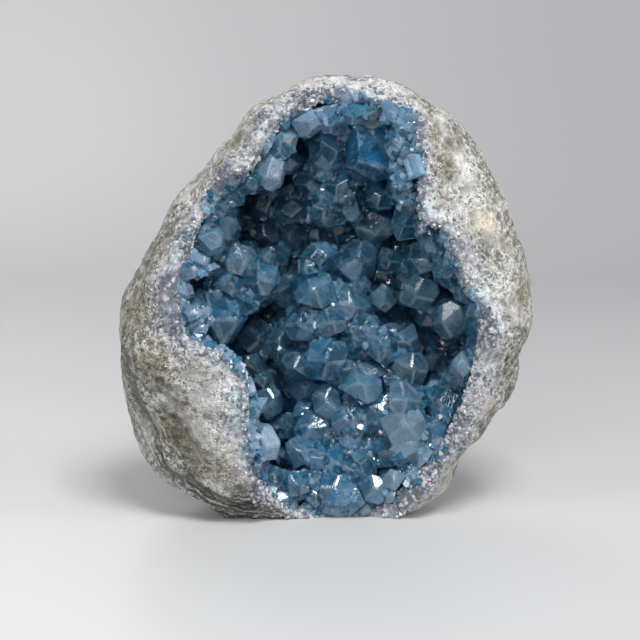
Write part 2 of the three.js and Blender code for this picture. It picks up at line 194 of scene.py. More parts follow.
def board_faces(count):
    """Four-sided faces between the two profiles of count points each."""
    near = np.arange(count - 1)
    return np.column_stack((near, near + 1, near + 1 + count, near + count))[:, ::-1].tolist()


def board_finish():
    """Matt card of one colour."""
    matt = Finish("matt_board")
    sockets = {"Base Color": BOARD_COLOUR, "Roughness": BOARD_ROUGHNESS}
    return matt.done(matt.node("BsdfPrincipled", None, sockets))


points = board_points()
faces = board_faces(len(points) // 2)
made_mesh("board", points, faces, board_finish(), smooth=True)

# ---------------------------------------------------------------------------------------------
# Lamps: a softbox high in front, weaker ones in front and at each side, and one behind.
# ---------------------------------------------------------------------------------------------
SOFTBOXES = {  # name: (place, width, power)
    "softbox_overhead": ((0.19, -0.66, 1.05), 0.4, 15),
    "softbox_front": ((-0.20, -1.20, 0.55), 0.4, 5),
    "softbox_left": ((-1.05, -0.80, 0.65), 0.4, 4),
    "softbox_right": ((1.10, -0.40, 0.35), 0.4, 6.5),
    "softbox_back": ((-0.45, 1.00, 0.75), 0.6, 4),
}
ROOM_COLOUR = (0.86, 0.90, 1.0, 1)
ROOM_STRENGTH = 0.20

for name, (position, width, power) in SOFTBOXES.items():
    lamp = bpy.data.lights.new(name, "AREA")
    lamp.size = width
    lamp.energy = power
    softbox = bpy.data.objects.new(name, lamp)
    softbox.location = position
    softbox.rotation_euler = (Vector(position) - LOOK_AT).to_track_quat("Z", "Y").to_euler()
    bpy.context.scene.collection.objects.link(softbox)

room = bpy.data.worlds.new("room")
room.use_nodes = True
room.node_tree.nodes["Background"].inputs["Color"].default_value = ROOM_COLOUR
room.node_tree.nodes["Background"].inputs["Strength"].default_value = ROOM_STRENGTH
bpy.context.scene.world = room
bpy.context.scene.view_settings.view_transform = "Standard"

# ---------------------------------------------------------------------------------------------
# Stone rind: the weathered limestone shell of the nodule, one piece about 7 mm thick. It was
# broken open at the front, and rests on a flat spot worn across its underside.
# ---------------------------------------------------------------------------------------------
MIDDLE = np.array((0.0, -8.0, 88.0))
CENTRING = np.array((-0.5, -3.4, 0.0))  # from the nodule's own frame to the part's
FRONT_DEPTH = 44
BACK_DEPTH = 60
WALL = 7
LIP_BAND = 4  # width of the broken edge, seen from the front
LIP_ROUND = 1.4
LIP_LUMP = 5
LIP_UNEVEN = 0.5
FLOOR = 4  # least thickness of the base
GAP = 0.3

OUTLINE_STEP = 15
OUTLINE = (
    83, 82.5, 83, 86, 89, 90.5, 88.5, 84.5, 77.5, 71, 71, 74.5,
    82, 86, 92, 98, 98, 96, 95, 94, 92, 85, 83, 82.5,
)  # radius of the widest section, from +X over the top
WINDOW = (
    (0, 58), (15, 52), (30, 53), (45, 50), (55, 62), (64, 78), (78, 81), (92, 79), (105, 72),
    (120, 60), (135, 61), (150, 59), (165, 57), (180, 55), (192, 53), (205, 41), (216, 38),
    (228, 44), (240, 57), (250, 74), (259, 84), (270, 88), (285, 87), (297, 80), (308, 75),
    (320, 69), (335, 64), (350, 61),
)  # angle, radius of the window inside its broken edge

# Long waves: direction x, y, z, wavelength, height, phase
WAVES = (
    (0.8, 0.5, 0.3, 74, 1.5, 0.4),
    (-0.4, 0.7, 0.6, 52, 1.2, 2.1),
    (0.2, -0.6, 0.9, 39, 0.9, 4.0),
    (0.9, -0.3, -0.5, 31, 0.6, 1.2),
    (-0.5, 0.2, -0.9, 24, 0.5, 5.1),
)
# Knobs and hollows: x, y, z, radius, height
KNOBS = (
    (-58, -30, 62, 20, 2.5), (-66, -18, 36, 13, -2.6), (-45, -34, 30, 15, 2.0),
    (-72, -16, 92, 15, 2.2), (-56, -18, 128, 12, -2.0), (-30, -18, 158, 12, 1.8),
    (46, -24, 152, 13, -2.0), (58, -28, 128, 12, -2.8), (68, -20, 108, 15, 2.2),
    (76, -14, 66, 14, -1.8), (60, -18, 34, 12, 1.8), (-60, 28, 112, 22, -3.0),
    (-40, 44, 60, 24, 2.8), (20, 46, 120, 26, -3.2), (48, 38, 56, 20, 3.0),
    (0, 52, 84, 18, 2.4), (66, 22, 100, 16, -2.4), (0, 34, 158, 18, 2.2), (-14, 48, 28, 16, -2.2),
    (73, -10, 135, 18, -7.0), (-40, -10, 158, 17, -7.0), (84, -12, 92, 20, -3.0),
    (-84, -10, 45, 22, -3.6), (-84, -8, 88, 12, -2.2), (-20, -12, 173, 14, -2.2),
    (28, -6, 174, 10, -2.0),
)
# Layers that break off in ledges low on the left side. Their pitch is in degrees of latitude.
LEDGE_PITCH = 13
LEDGE_HEIGHT = 3
LEDGE_MIDDLE = (232, 76)  # angle and latitude
LEDGE_ANGLES = (18, 40)  # how far from the middle they start to fade, and end
LEDGE_LATITUDES = (16, 34)
LEDGE_TILT = 0.07
LEDGE_WANDER = 0.5  # in pitches
LEDGE_DROP = 0.12  # share of its pitch over which each one drops back
# The fine layers within them
LAMINA_PITCH = 2.6
LAMINA_HEIGHT = 2.0
LAMINA_MIDDLE = 243
LAMINA_ANGLES = (14, 36)
LAMINA_DROP = 0.3
CRACK_WIDTH = (0.27, 0.08)  # of the dark line between two of them, in pitches
# Both grow shallow towards the back
LAYERS_FADE = (80, 98)
LAYERS_LOST = 0.65

# Fine weathering: size and height of each grain of noise, then the small round pits
GRAIN = ((17, 0.7), (8, 0.6), (3.9, 0.45), (2.1, 0.3))
PIT_SPACING = 6.5
PIT_RADIUS = (0.12, 0.3)  # of its floor and of its rim, in spacings
PIT_DEPTH = 0.9

RIND_ANGLES = 560
RIND_BACK_RINGS = 46
RIND_FRONT_RINGS = 80
RIND_LIP_RINGS = 11
INNER_RINGS = 24


def around(values_at):
    """A closed curve through [angle, value] pairs, as a function of arrays of angles. Each
    stretch is a cubic whose slope at a pair is that of the line between its neighbours."""
    angles, values = np.array(values_at, float).T
    a = np.concatenate((angles[-1:] - 360, angles, angles[:2] + 360))
    v = np.concatenate((values[-1:], values, values[:2]))
    slopes = (v[2:] - v[:-2]) / (a[2:] - a[:-2])

    def read(angle):
        angle = np.mod(angle, 360)
        i = np.searchsorted(angles, angle, side="right") - 1
        span = a[i + 2] - a[i + 1]
        t = (angle - a[i + 1]) / span
        ends = (2 * t**3 - 3 * t**2 + 1) * v[i + 1] + (3 * t**2 - 2 * t**3) * v[i + 2]
        return ends + span * ((t**3 - 2 * t**2 + t) * slopes[i] + (t**3 - t**2) * slopes[i + 1])

    return read


outline_radius = around([(i * OUTLINE_STEP, radius) for i, radius in enumerate(OUTLINE)])
window_radius = around(WINDOW)


def unit(vectors):
    return vectors / np.linalg.norm(vectors, axis=-1, keepdims=True)


def smoothstep(value, painted_low_shade, high):
    t = np.clip((value - painted_low_shade) / (high - painted_low_shade), 0, 1)
    return t * t * (3 - 2 * t)


def nodule(angle, latitude):
    """The smooth surface and its outward normal. At an angle, the profile is half an ellipse:
    its radius is R(angle) sin(latitude), and y is -depth cos(latitude), where the depth is one
    number in front of the widest section and another behind it."""
    angle, latitude = np.broadcast_arrays(np.asarray(angle, float), np.asarray(latitude, float))
    turn, tilt = np.radians(angle), np.radians(latitude)
    radius = outline_radius(angle)
    depth = np.where(latitude < 90, FRONT_DEPTH, BACK_DEPTH)
    growth = (outline_radius(angle + 1) - outline_radius(angle - 1)) / math.radians(2)
    r, y = radius * np.sin(tilt), -depth * np.cos(tilt)
    flat = np.zeros_like(r)
    out = np.stack((np.cos(turn), flat, np.sin(turn)), -1)
    along = np.stack((-np.sin(turn), flat, np.cos(turn)), -1)
    forward = np.array((0.0, 1.0, 0.0))
    point = MIDDLE + out * r[..., None] + forward * y[..., None]
    normal = out * (r / radius**2)[..., None] - along * (r * growth / radius**3)[..., None]
    return point, unit(normal + forward * (y / depth**2)[..., None])


def lip_latitude(angle):
    """Where the window cuts the surface."""
    share = (window_radius(angle) + LIP_BAND) / outline_radius(angle)
    return np.degrees(np.arcsin(np.minimum(share, 1)))


def lip_way(angle, lip):
    """The way along the surface that leads from the broken edge into the window."""
    return unit(nodule(angle, lip - 1)[0] - nodule(angle, lip + 1)[0])


def inside(angle, latitude, depth):
    """The smooth surface a depth under the outside, kept above the base's least thickness."""
    point, normal = nodule(angle, latitude)
    point = point - normal * depth
    floor = FLOOR + np.ravel(depth) - WALL
    point[..., 2] = np.maximum(point[..., 2], floor)
    return point


def relief(p):
    """Long sine waves, plus a bell-shaped knob or hollow at each place of KNOBS."""
    height = np.zeros(p.shape[:-1])
    for *way, length, amount, phase in WAVES:
        height += amount * np.sin(2 * math.pi * (p @ np.array(way)) / length + phase)
    for *place, radius, amount in KNOBS:
        d = np.linalg.norm(p - np.array(place), axis=-1) / radius
        height += amount * np.exp(-d * d)
    return height


# Any large numbers do here, as long as no two of them are in a simple ratio
SCATTER_WAYS = ((127.1, 311.7, 74.7), (269.5, 183.3, 246.1), (419.2, 371.9, 124.6))
SCRAMBLE = 43758.5453


def scatter(cell, salt):
    """Three numbers from 0 to 1 for each cell of a lattice: the fractions of large sines of its
    place along three ways. Another salt gives other numbers."""
    turn = np.stack([cell @ way for way in SCATTER_WAYS], -1)
    return np.modf(np.abs(np.sin(turn + salt)) * SCRAMBLE)[0]


def lumps(points, size, salt):
    """Gradient noise from about -1 to 1: each corner of a lattice holds a slope, and a point takes
    1.5 times the smooth mean of the heights that the eight slopes round it reach there."""
    p = points / size
    cell = np.floor(p)
    f = p - cell
    fade = f**3 * (f * (f * 6 - 15) + 10)
    total = 0
    for corner in itertools.product((0, 1), repeat=3):
        slope = 2 * scatter(cell + corner, salt) - 1
        weight = np.prod(np.where(corner, fade, 1 - fade), axis=-1)
        total = total + weight * np.sum(slope * (f - corner), axis=-1)
    return 1.5 * total


def nearest(points, size, salt):
    """Distance to the nearest of many scattered spots, one in each lattice cell, in cells."""
    p = points / size
    cell = np.floor(p)
    best = np.full(p.shape[:-1], 9.0)
    for offset in itertools.product((-1, 0, 1), repeat=3):
        spot = cell + offset + scatter(cell + offset, salt)
        best = np.minimum(best, np.linalg.norm(spot - p, axis=-1))
    return best


def saw(turns, fall):
    """Rises evenly from -0.5 to 0.5 over each turn, and drops back over its last share."""
    t = turns - np.floor(turns)
    return np.where(t < 1 - fall, t / (1 - fall), (1 - t) / fall) - 0.5


def ledges(angle, latitude, p):
    """Heights of the broken layers: a large saw across the latitude, and a fine one that wanders
    with noise and reaches further. Gives them, the number of the fine layer at each point, and
    from 0 to 1 how much the stone is layered there."""
    across = 1 - smoothstep(np.abs(latitude - LEDGE_MIDDLE[1]), *LEDGE_LATITUDES)
    shallow = 1 - LAYERS_LOST * smoothstep(latitude, *LAYERS_FADE)
    here = (1 - smoothstep(np.abs(angle - LEDGE_MIDDLE[0]), *LEDGE_ANGLES)) * across
    here = here * shallow * np.clip(0.8 + 1.2 * lumps(p, 15, salt=26), 0.1, 1.2)
    wander = LEDGE_WANDER * lumps(p, 24, salt=25)
    layer = (latitude + LEDGE_TILT * angle) / LEDGE_PITCH + wander
    patchy = smoothstep(lumps(p, 16, salt=24), -0.35, 0.1)
    there = (1 - smoothstep(np.abs(angle - LAMINA_MIDDLE), *LAMINA_ANGLES)) * patchy * across
    wander = 1.6 * lumps(p, 17, salt=21) + 0.8 * lumps(p, 6, salt=22)
    lamina = latitude / LAMINA_PITCH + wander
    uneven = np.maximum(0.5 + 1.3 * lumps(p, 7, salt=23), 0)
    fine = LAMINA_HEIGHT * there * shallow * saw(lamina, LAMINA_DROP) * uneven
    return LEDGE_HEIGHT * here * saw(layer, LEDGE_DROP) + fine, lamina, there


def grain(p):
    """Fine weathering: the sum of noise of the sizes in GRAIN, less small round pits."""
    height = sum(amount * lumps(p, size, salt) for salt, (size, amount) in enumerate(GRAIN, 1))
    pits = 1 - smoothstep(nearest(p, PIT_SPACING, salt=5), *PIT_RADIUS)
    return height - PIT_DEPTH * pits


def round_body(rows):
    """Points and faces of a closed surface from one profile for each angle. All the profiles
    start at one point and end at another."""
    count, length = rows.shape[0], rows.shape[1] - 2
    at = 2 + np.arange(count * length).reshape(count, length)
    after = np.roll(at, -1, axis=0)
    quads = np.stack((at[:, :-1], after[:, :-1], after[:, 1:], at[:, 1:]), -1).reshape(-1, 4)
    first = np.column_stack((np.zeros(count, int), after[:, 0], at[:, 0]))
    last = np.column_stack((np.ones(count, int), at[:, -1], after[:, -1]))
    return on_body(rows), quads.tolist() + first.tolist() + last.tolist()


def on_body(rows):
    """Values of a grid in the order of the round body's points."""
    ends = np.stack((rows[0, 0], rows[0, -1]))
    return np.concatenate((ends, rows[:, 1:-1].reshape(-1, *rows.shape[2:])))


def rind_rows():
    """The rind's profiles: its weathered outside from the back pole to the broken edge, that edge
    as half a round, and its smooth inner wall. With them go four numbers for each point: the
    distance from the broken edge along the surface, the height of the fine relief, the number of
    the fine layer, and how much the stone is layered."""
    angle = np.arange(RIND_ANGLES)[:, None] * 360 / RIND_ANGLES
    lip = lip_latitude(angle)
    back = np.linspace(180, 90, RIND_BACK_RINGS, endpoint=False) + 0 * angle
    front = 90 + (lip - 90) * np.linspace(0, 1, RIND_FRONT_RINGS)
    latitude = np.concatenate((back, front), axis=1)
    point, normal = nodule(angle, latitude)
    layers, lamina, layered = ledges(angle, latitude, point)
    fine = grain(point)
    outside = point + normal * (relief(point) + layers + fine)[..., None]
    share = np.linspace(0, 1, RIND_LIP_RINGS)[1:-1, None]
    wall = inside(angle, lip, WALL)
    edge = outside[:, -1:] * (1 - share) + wall * share
    edge = edge + lip_way(angle, lip) * LIP_ROUND * np.sqrt(np.sin(math.pi * share))
    edge = edge + LIP_UNEVEN * lumps(edge, LIP_LUMP, salt=7)[..., None] * lip_way(angle, lip)
    painted_facets = inside(angle, lip + (180 - lip) * np.linspace(0, 1, INNER_RINGS + 1), WALL)
    rows = np.concatenate((outside, edge, painted_facets), axis=1)
    rows[..., 2] = np.maximum(rows[..., 2], 0)
    steps = np.linalg.norm(np.diff(rows, axis=1), axis=-1)
    travelled = np.concatenate((0 * lip, np.cumsum(steps, axis=1)), axis=1)
    to_edge = travelled[:, outside.shape[1] - 1, None]
    hidden = ((0, 0), (0, rows.shape[1] - outside.shape[1]))
    return rows, to_edge - travelled, *(np.pad(v, hidden) for v in (layers + fine, lamina, layered))


def keep_number(mesh, name, values, domain="POINT"):
    """Stores a number at each point or face of a mesh, for its finish to read."""
    attribute = mesh.attributes.new(name, "FLOAT", domain)
    attribute.data.foreach_set("value", values.astype(np.float32))


# Colours of the stone, from the outside in
CHALK = (0.45, 0.44, 0.415)
BEIGE = (0.285, 0.275, 0.24)
PALE = (0.70, 0.70, 0.675)
# The next colour is for dark specks, pores and cracks, and also painted shade in the relief's low spots
GRIME_AND_SHADE = (0.042, 0.040, 0.030)
OLIVE = (0.21, 0.19, 0.09)
RUST = (0.68, 0.59, 0.46)
LILAC = (0.47, 0.465, 0.495)
DIRT = (0.15, 0.14, 0.115)
ICE = (0.58, 0.68, 0.73)
SLATE = (0.075, 0.095, 0.14)
INNER_WALL = (0.14, 0.24, 0.30)

STAIN_FADE = (1.1, 0.2)  # share of a spot's radius where its stain starts, and where it is full

# Stained places: x, y, z, radius in mm
# The pale spots are partly the stone's own pale patches and partly painted light, where the outside lies
# in shade low on the right
PALE_AND_LIT_SPOTS = (
    (56, -27, 142, 12), (55, -32, 134, 12), (68, -33, 96, 10), (24, -17, 173, 12), (-45, -44, 59, 16),
    (-40, -44, 48, 16), (61, -29, 45, 13), (54, -27, 33, 11), (67, -29, 60, 9), (-55, -40, 93, 7),
    (-52, -38, 104, 9), (0, -22, 174, 9),
)
OLIVE_SPOTS = (
    (43, -29, 153, 6), (46, -34, 141, 9), (-35, -26, 149, 8), (-42, -25, 143, 7), (-74, -28, 85, 11),
    (-66, -35, 66, 10), (-51, -43, 67, 6), (-54, -39, 52, 7), (-59, -34, 38, 12), (49, -40, 119, 6),
    (78, -23, 92, 10), (64, -33, 69, 7), (53, -28, 33, 7), (-42, -35, 25, 10),
)
RUST_SPOTS = ((63, -32, 120, 9), (64, -26, 46, 6), (30, -38, 145, 4))
ICE_SPOTS = ((-32, -44, 43, 10), (-28, -42, 33, 10), (-34, -46, 54, 8), (-42, -46, 70, 6))
DIRT_SPOTS = (
    (44, -27, 155, 5), (46, -30, 149, 7), (47, -34, 140, 8), (44, -38, 130, 6), (-68, -25, 103, 5),
    (-72, -28, 91, 5), (-60, -34, 60, 6), (-55, -38, 53, 6), (-52, -29, 19, 7), (-34, -33, 14, 7),
    (68, -24, 40, 5),
)
SLATE_SPOTS = (
    (-58, -37, 96, 11), (-57, -40, 84, 11), (-46, -35, 121, 6), (-24, -26, 159, 5), (-9, -24, 168, 5),
    (30, -30, 161, 7), (44, -43, 111, 5), (57, -39, 81, 8), (60, -37, 72, 7),
)


def stain(finish, place, spots, ragged):
    """1 in the middle of each spot, fading to 0 at its ragged edge."""
    total = None
    for x, y, z, radius in spots:
        centre = tuple((np.array((x, y, z)) + CENTRING) / 1000)
        apart = finish.node("VectorMath", {"operation": "DISTANCE"}, {0: place, 1: centre}, "Value")
        near = finish.step(apart * (1000 / radius) + ragged, *STAIN_FADE)
        total = near if total is None else total.larger(near)
    return total


def stone_finish():
    """Limestone: chalky and beige areas with clusters of dark specks and stains of five colours,
    dark cracks where it is layered, and a sugary lilac band that turns icy or slate blue at the
    broken edge. The pale stains are partly painted light, the relief's low spots carry painted
    shade and its raised spots a painted highlight."""
    stone = Finish("weathered_stone")
    place = stone.place()
    edge = stone.number("from_edge")
    height = stone.number("height")
    layered = stone.number("layered")
    broad = stone.noise(place, 26, 3)
    medium = stone.noise(place, 7, 4, 0.6)
    small = stone.noise(place, 2.4, 4, 0.7)
    speck = stone.noise(place, 1.1, 3, 0.7)
    ragged = 1.6 * medium - 0.8
    olive = stain(stone, place, OLIVE_SPOTS, ragged)
    dirt = stain(stone, place, DIRT_SPOTS, ragged)
    rust = stain(stone, place, RUST_SPOTS, ragged)
    layer = stone.number("lamina") + 0.7 * small
    crack = stone.step(layer.maths("PINGPONG", layer, 0.5), *CRACK_WIDTH) * layered
    crack = crack * stone.step(small + 0.5 * medium, 0.44, 0.60)
    strip = stone.node("TexNoise", {"noise_dimensions": "1D"}, {"W": layer, "Scale": 1.1, "Detail": 1.0})
    colour = stone.blend(stone.step(broad + 0.5 * medium, 0.62, 0.90), BEIGE, CHALK)
    # Pale spots: partly the stone's own colour, partly painted light
    colour = stone.blend(stain(stone, place, PALE_AND_LIT_SPOTS, ragged) * 0.8, colour, PALE)
    colour = stone.blend(stone.step(small, 0.50, 0.62) * 0.7, colour, PALE)
    colour = stone.blend(layered * stone.step(strip, 0.48, 0.60) * 0.7, colour, PALE)
    colour = stone.blend(layered * stone.step(strip, 0.52, 0.40) * 0.6, colour, OLIVE)
    # Painted highlight: the relief's raised spots are paler
    colour = stone.blend(stone.step(height, 0.2, 1.1) * 0.5, colour, PALE)
    colour = stone.blend(olive * 0.6, colour, OLIVE)
    colour = stone.blend(dirt * 0.5, colour, DIRT)
    colour = stone.blend(rust * 0.8, colour, RUST)
    band = stone.step(edge + 8 * broad + 6 * medium, 18, 8.5)
    icy = stain(stone, place, ICE_SPOTS, ragged)
    frosted = stone.blend(stone.step(medium, 0.46, 0.62).larger(icy), LILAC, ICE)
    frosted = stone.blend(stone.step(small, 0.50, 0.62) * 0.7, frosted, PALE)
    colour = stone.blend((band * 0.85).larger(icy * 0.9), colour, frosted)
    wet = stone.step(edge + 6 * medium, 7, 3) * stone.step(broad, 0.40, 0.60)
    wet = wet.larger(stain(stone, place, SLATE_SPOTS, ragged)) * stone.step(small, 0.64, 0.50)
    colour = stone.blend(wet * 0.9, colour, SLATE)
    dirty = stone.step(medium + 0.5 * broad, 0.90, 0.64)
    dirty = dirty.larger(olive).larger(dirt).larger(layered * 0.8)
    pores = stone.step(small, 0.50, 0.40) * (0.3 + 0.7 * dirty)
    specks = stone.step(speck, 0.50, 0.40) * (0.4 + 0.6 * dirty)
    # Painted shade: the relief's low spots darkened, more where the stone is layered
    painted_low_shade = stone.step(height, 0.1, -0.9) * (0.65 + 0.3 * layered)
    streaks = layered * stone.step(strip, 0.46, 0.36) * stone.step(medium, 0.40, 0.60) * 0.7
    # Dark specks, pores, cracks and streaks, together with the painted shade in low spots
    grime_and_shade = pores.larger(specks).larger(painted_low_shade).larger(crack).larger(streaks)
    grime_and_shade = grime_and_shade * (1 - 0.4 * band) * (1 - 0.5 * rust)
    colour = stone.blend((grime_and_shade * 0.84).larger(crack * 0.93), colour, GRIME_AND_SHADE)
    colour = stone.blend(stone.step(edge, -5.0, -8.0), colour, INNER_WALL)
    rough = small + speck * 0.6 - crack * 0.8
    bump = stone.node("Bump", None, {"Strength": 1.0, "Distance": 0.0015, "Height": rough})
    shine = 0.9 - 0.45 * band * stone.step(speck, 0.5, 0.6)
    sockets = {"Base Color": colour, "Roughness": shine, "Normal": bump, "IOR": 1.5}
    return stone.done(stone.node("BsdfPrincipled", None, sockets))


rows, from_edge, height, lamina, layered = rind_rows()
points, faces = round_body(rows)
rind = made_mesh("stone_rind", points + CENTRING, faces, stone_finish(), smooth=True)
keep_number(rind.data, "from_edge", on_body(from_edge))
keep_number(rind.data, "height", on_body(height))
keep_number(rind.data, "lamina", on_body(lamina))
keep_number(rind.data, "layered", on_body(layered))
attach(rind, "root")
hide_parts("rind")

# ---------------------------------------------------------------------------------------------
# Crystal crust: celestite that grew inward from the rind as one massive layer, which ends in
# close-packed clear blue crystals. Every crystal is fused to its neighbours and to the layer.
# ---------------------------------------------------------------------------------------------
CRUST = 6  # thickness of the massive layer
SWELLS = ((5, 72, 36, 30), (22, 34, 26, 20), (2, 124, 24, 15))  # x, z, radius, height
FACING_FULL = 0.7  # a wall whose normal has this y swells in full
REACH = 40  # how far the space for crystals goes out in front of the window
# Degrees of latitude behind the broken edge where the layer's back, its top and the space start
SHORT_OF_LIP = 2.2
TOP_START = 5
SPACE_START = 3
CRUST_ANGLES = 150

# The large crystals: tip x, y, z, growth x, y, z, width, thickness, spin
CRYSTALS = (
    # Along the top edge of the window, left to right
    (-38, -24, 135, 0.6, -0.6, -0.5, 10, 8, 20),
    (-27, -24, 131, 0.5, -0.5, -0.7, 12, 9, 0),
    (-17, -26, 135, 0.6, -0.6, -0.5, 15, 12, 70),
    (-13, -23, 148, 0.5, -0.6, -0.6, 10, 8, 80),
    (-6, -24, 153, 0.2, -0.6, -0.8, 13, 10, 10),
    (3, -20, 152, 0.0, -0.5, -0.85, 14, 11, 50),
    (11, -24, 156, 0.0, -0.5, -0.85, 12, 10, 52),
    (18, -25, 158, 0.0, -0.5, -0.85, 9, 8, 75),
    (26, -21, 158, -0.1, -0.5, -0.85, 10, 9, 15),
    (19, -17, 134, 0.05, -0.4, -0.9, 24, 19, 35),
    # Behind them, hanging from the top of the hollow
    (1, -6, 136, 0.05, -0.4, -0.9, 17, 14, 25),
    (-14, -10, 137, 0.4, -0.5, -0.8, 10, 8, 55),
    (-6, -4, 128, 0.0, -0.7, -0.7, 11, 9, 0),
    (5, -6, 127, 0.05, -0.7, -0.7, 13, 10, 65),
    (0, 0, 115, 0.0, -0.7, -0.7, 17, 15, 40),
    (10, -3, 117, 0.05, -0.7, -0.7, 12, 10, 80),
    (-14, 6, 117, 0.1, -0.8, -0.6, 14, 12, 15),
    (-24, 8, 119, 0.3, -0.8, -0.5, 13, 11, 50),
    (21, -3, 122, -0.1, -0.7, -0.7, 14, 12, 10),
    (27, -10, 126, -0.3, -0.6, -0.7, 13, 11, 70),
    (20, 5, 111, 0.0, -0.9, -0.3, 18, 15, 20),
    (-7, 9, 120, 0.0, -0.8, -0.5, 14, 12, 30),
    # Down the right side
    (30, -20, 126, -0.85, -0.5, -0.1, 11, 9, 25),
    (25, -14, 117, -0.9, -0.4, -0.1, 15, 12, 75),
    (37, -20, 110, -0.85, -0.5, 0.0, 11, 9, 20),
    (42, -17, 99, -0.85, -0.5, 0.0, 16, 13, 45),
    (57, -24, 89, -0.8, -0.6, 0.0, 11, 9, 10),
    (46, -12, 78, -0.6, -0.8, 0.0, 19, 18, 30),
    (36, -4, 88, -0.3, -0.95, 0.05, 17, 17, 0),
    (50, -25, 62, -0.8, -0.55, 0.1, 11, 9, 35),
    (43, -17, 47, -0.6, -0.8, 0.1, 18, 15, 70),
    (34, -3, 102, -0.5, -0.85, 0.0, 16, 14, 30),
    (37, -26, 26, -0.7, -0.5, 0.5, 13, 11, 65),
    # Down the left side
    (-34, -15, 118, 0.8, -0.6, -0.1, 20, 18, 80),
    (-40, -24, 111, 0.8, -0.55, 0.0, 12, 11, 35),
    (-32, -11, 102, 0.5, -0.85, 0.0, 15, 13, 50),
    (-20, -10, 94, 0.75, -0.65, 0.0, 15, 12, 75),
    (-36, -12, 93, 0.6, -0.8, 0.0, 11, 10, 40),
    (-34, -13, 79, 0.8, -0.6, 0.0, 25, 20, 85),
    (-47, -27, 83, 0.85, -0.5, 0.0, 13, 11, 55),
    (-27, 5, 69, 0.4, -0.9, 0.0, 18, 16, 20),
    (-27, 3, 55, 0.5, -0.85, 0.1, 18, 15, 60),
    (-21, -2, 44, 0.4, -0.9, 0.2, 15, 14, 5),
    (-25, -19, 45, 0.9, -0.3, 0.1, 10, 8, 40),
    (-17, -32, 33, 0.95, -0.3, 0.0, 18, 15, 30),
    # Deep on the left, behind the swell
    (-24, 9, 110, 0.2, -1.0, -0.1, 13, 11, 75),
    (-15, 11, 109, 0.0, -1.0, -0.1, 15, 13, 5),
    (-20, 7, 100, 0.1, -1.0, 0.0, 15, 14, 45),
    (-24, 5, 87, 0.4, -0.9, 0.0, 15, 13, 25),
    (-19, 3, 67, 0.1, -1.0, 0.0, 14, 12, 40),
    # The swell in the middle, top to bottom
    (-3, -4, 108, -0.05, -0.7, 0.7, 13, 11, 0),
    (14, 1, 101, 0.1, -1.0, 0.15, 19, 17, 55),
    (26, 5, 101, 0.0, -1.0, 0.1, 12, 11, 25),
    (-5, -7, 91, -0.1, -1.0, 0.2, 21, 16, 70),
    (24, -1, 86, 0.1, -1.0, 0.1, 13, 12, 10),
    (11, -6, 84, 0.1, -1.0, 0.1, 16, 14, 45),
    (-11, -6, 76, -0.3, -1.0, 0.1, 16, 14, 20),
    (2, -10, 78, 0.0, -1.0, 0.2, 15, 12, 60),
    (16, -8, 74, 0.1, -1.0, 0.0, 15, 13, 30),
    (33, -8, 69, 0.1, -1.0, 0.1, 14, 11, 75),
    (24, -11, 66, 0.2, -1.0, -0.1, 16, 12, 15),
    (0, -13, 62, 0.0, -1.0, 0.05, 21, 19, 35),
    (-14, -5, 58, -0.4, -1.0, 0.0, 15, 14, 80),
    (35, -12, 59, 0.1, -1.0, 0.1, 17, 14, 40),
    (14, -15, 54, 0.0, -0.95, 0.3, 20, 11, 60),
    # The slope down to the base
    (0, -9, 46, -0.1, -1.0, 0.3, 16, 11, 5),
    (32, -17, 48, 0.1, -0.95, 0.3, 18, 14, 50),
    (21, -13, 41, 0.1, -1.0, 0.2, 11, 10, 20),
    (8, -12, 39, 0.0, -1.0, 0.4, 15, 13, 70),
    (-7, -9, 35, -0.2, -1.0, 0.3, 17, 13, 25),
    (32, -21, 38, 0.05, -0.95, 0.3, 22, 18, 80),
    (35, -21, 29, 0.1, -1.0, 0.2, 14, 12, 10),
    (27, -16, 26, -0.1, -1.0, 0.1, 15, 15, 45),
    (-11, -13, 26, -0.1, -1.0, 0.2, 14, 13, 65),
    (2, -15, 24, 0.0, -1.0, 0.3, 20, 16, 30),
    (14, -17, 20, 0.0, -1.0, 0.2, 15, 14, 0),
    (-20, -22, 18, 0.6, -0.7, 0.4, 13, 11, 50),
    (-11, -25, 15, 0.0, -1.0, 0.3, 11, 9, 55),
    (4, -25, 13, 0.0, -1.0, 0.3, 17, 14, 35),
    (20, -23, 13, 0.0, -1.0, 0.3, 15, 11, 75),
    (27, -24, 17, 0.0, -0.9, 0.4, 9, 8, 15),
    (11, -25, 8, 0.0, -1.0, 0.1, 10, 9, 80),
)

SLAB_WIDTH = 15
SHORTEST = 6
ROOT = 5  # depth of the wedge that a crystal is rooted by, at most its share of the width
ROOT_SHARE = 0.6
CHISEL = 0.8  # height of the short edge at the tip above its ends, at most its share of the width
CHISEL_SHARE = 0.1
SIDE_SLOPE = 38
ROOT_SLOPE = 30
TIP_SLOPE = (24, 42)
END_SLOPE = (18, 40)
UNEVEN = (0.88, 1.12)  # how far out a side stands, as a share of the even distance
SMALLEST = 0.02  # shorter edges are left out
NEAR = 1e-5  # two points this close are one
PARALLEL = 1e-3  # three planes meet in no point where their normals' determinant is under this
WORN_EDGE = 0.035  # width of the narrow facet along each edge, as a share of the thickness

# Crystals that lean on each large one: how many, and their width, set-back and offset as shares
# of its width
COMPANIONS = 5
COMPANION_WIDTH = (0.45, 0.85)
COMPANION_SET_BACK = (0.25, 0.8)
COMPANION_OFFSET = (0.42, 0.85)
COMPANION_LEAN = 0.35
COMPANION_STRAY = 0.6  # how much of the lean is by chance
COMPANION_FLATNESS = (0.6, 0.95)  # thickness as a share of the width

# Small crystals on the massive layer between them, more of them near the broken edge
FILLERS = 560
FILLER_WIDTH = (5.0, 10.5)
FILLER_PROUD = (3.0, 9.0)
FILLER_LEAN = 0.4
FILLER_FLATNESS = 0.85
FRINGE_SHARE = 0.4
FRINGE_REACH = 15
SEED = 11

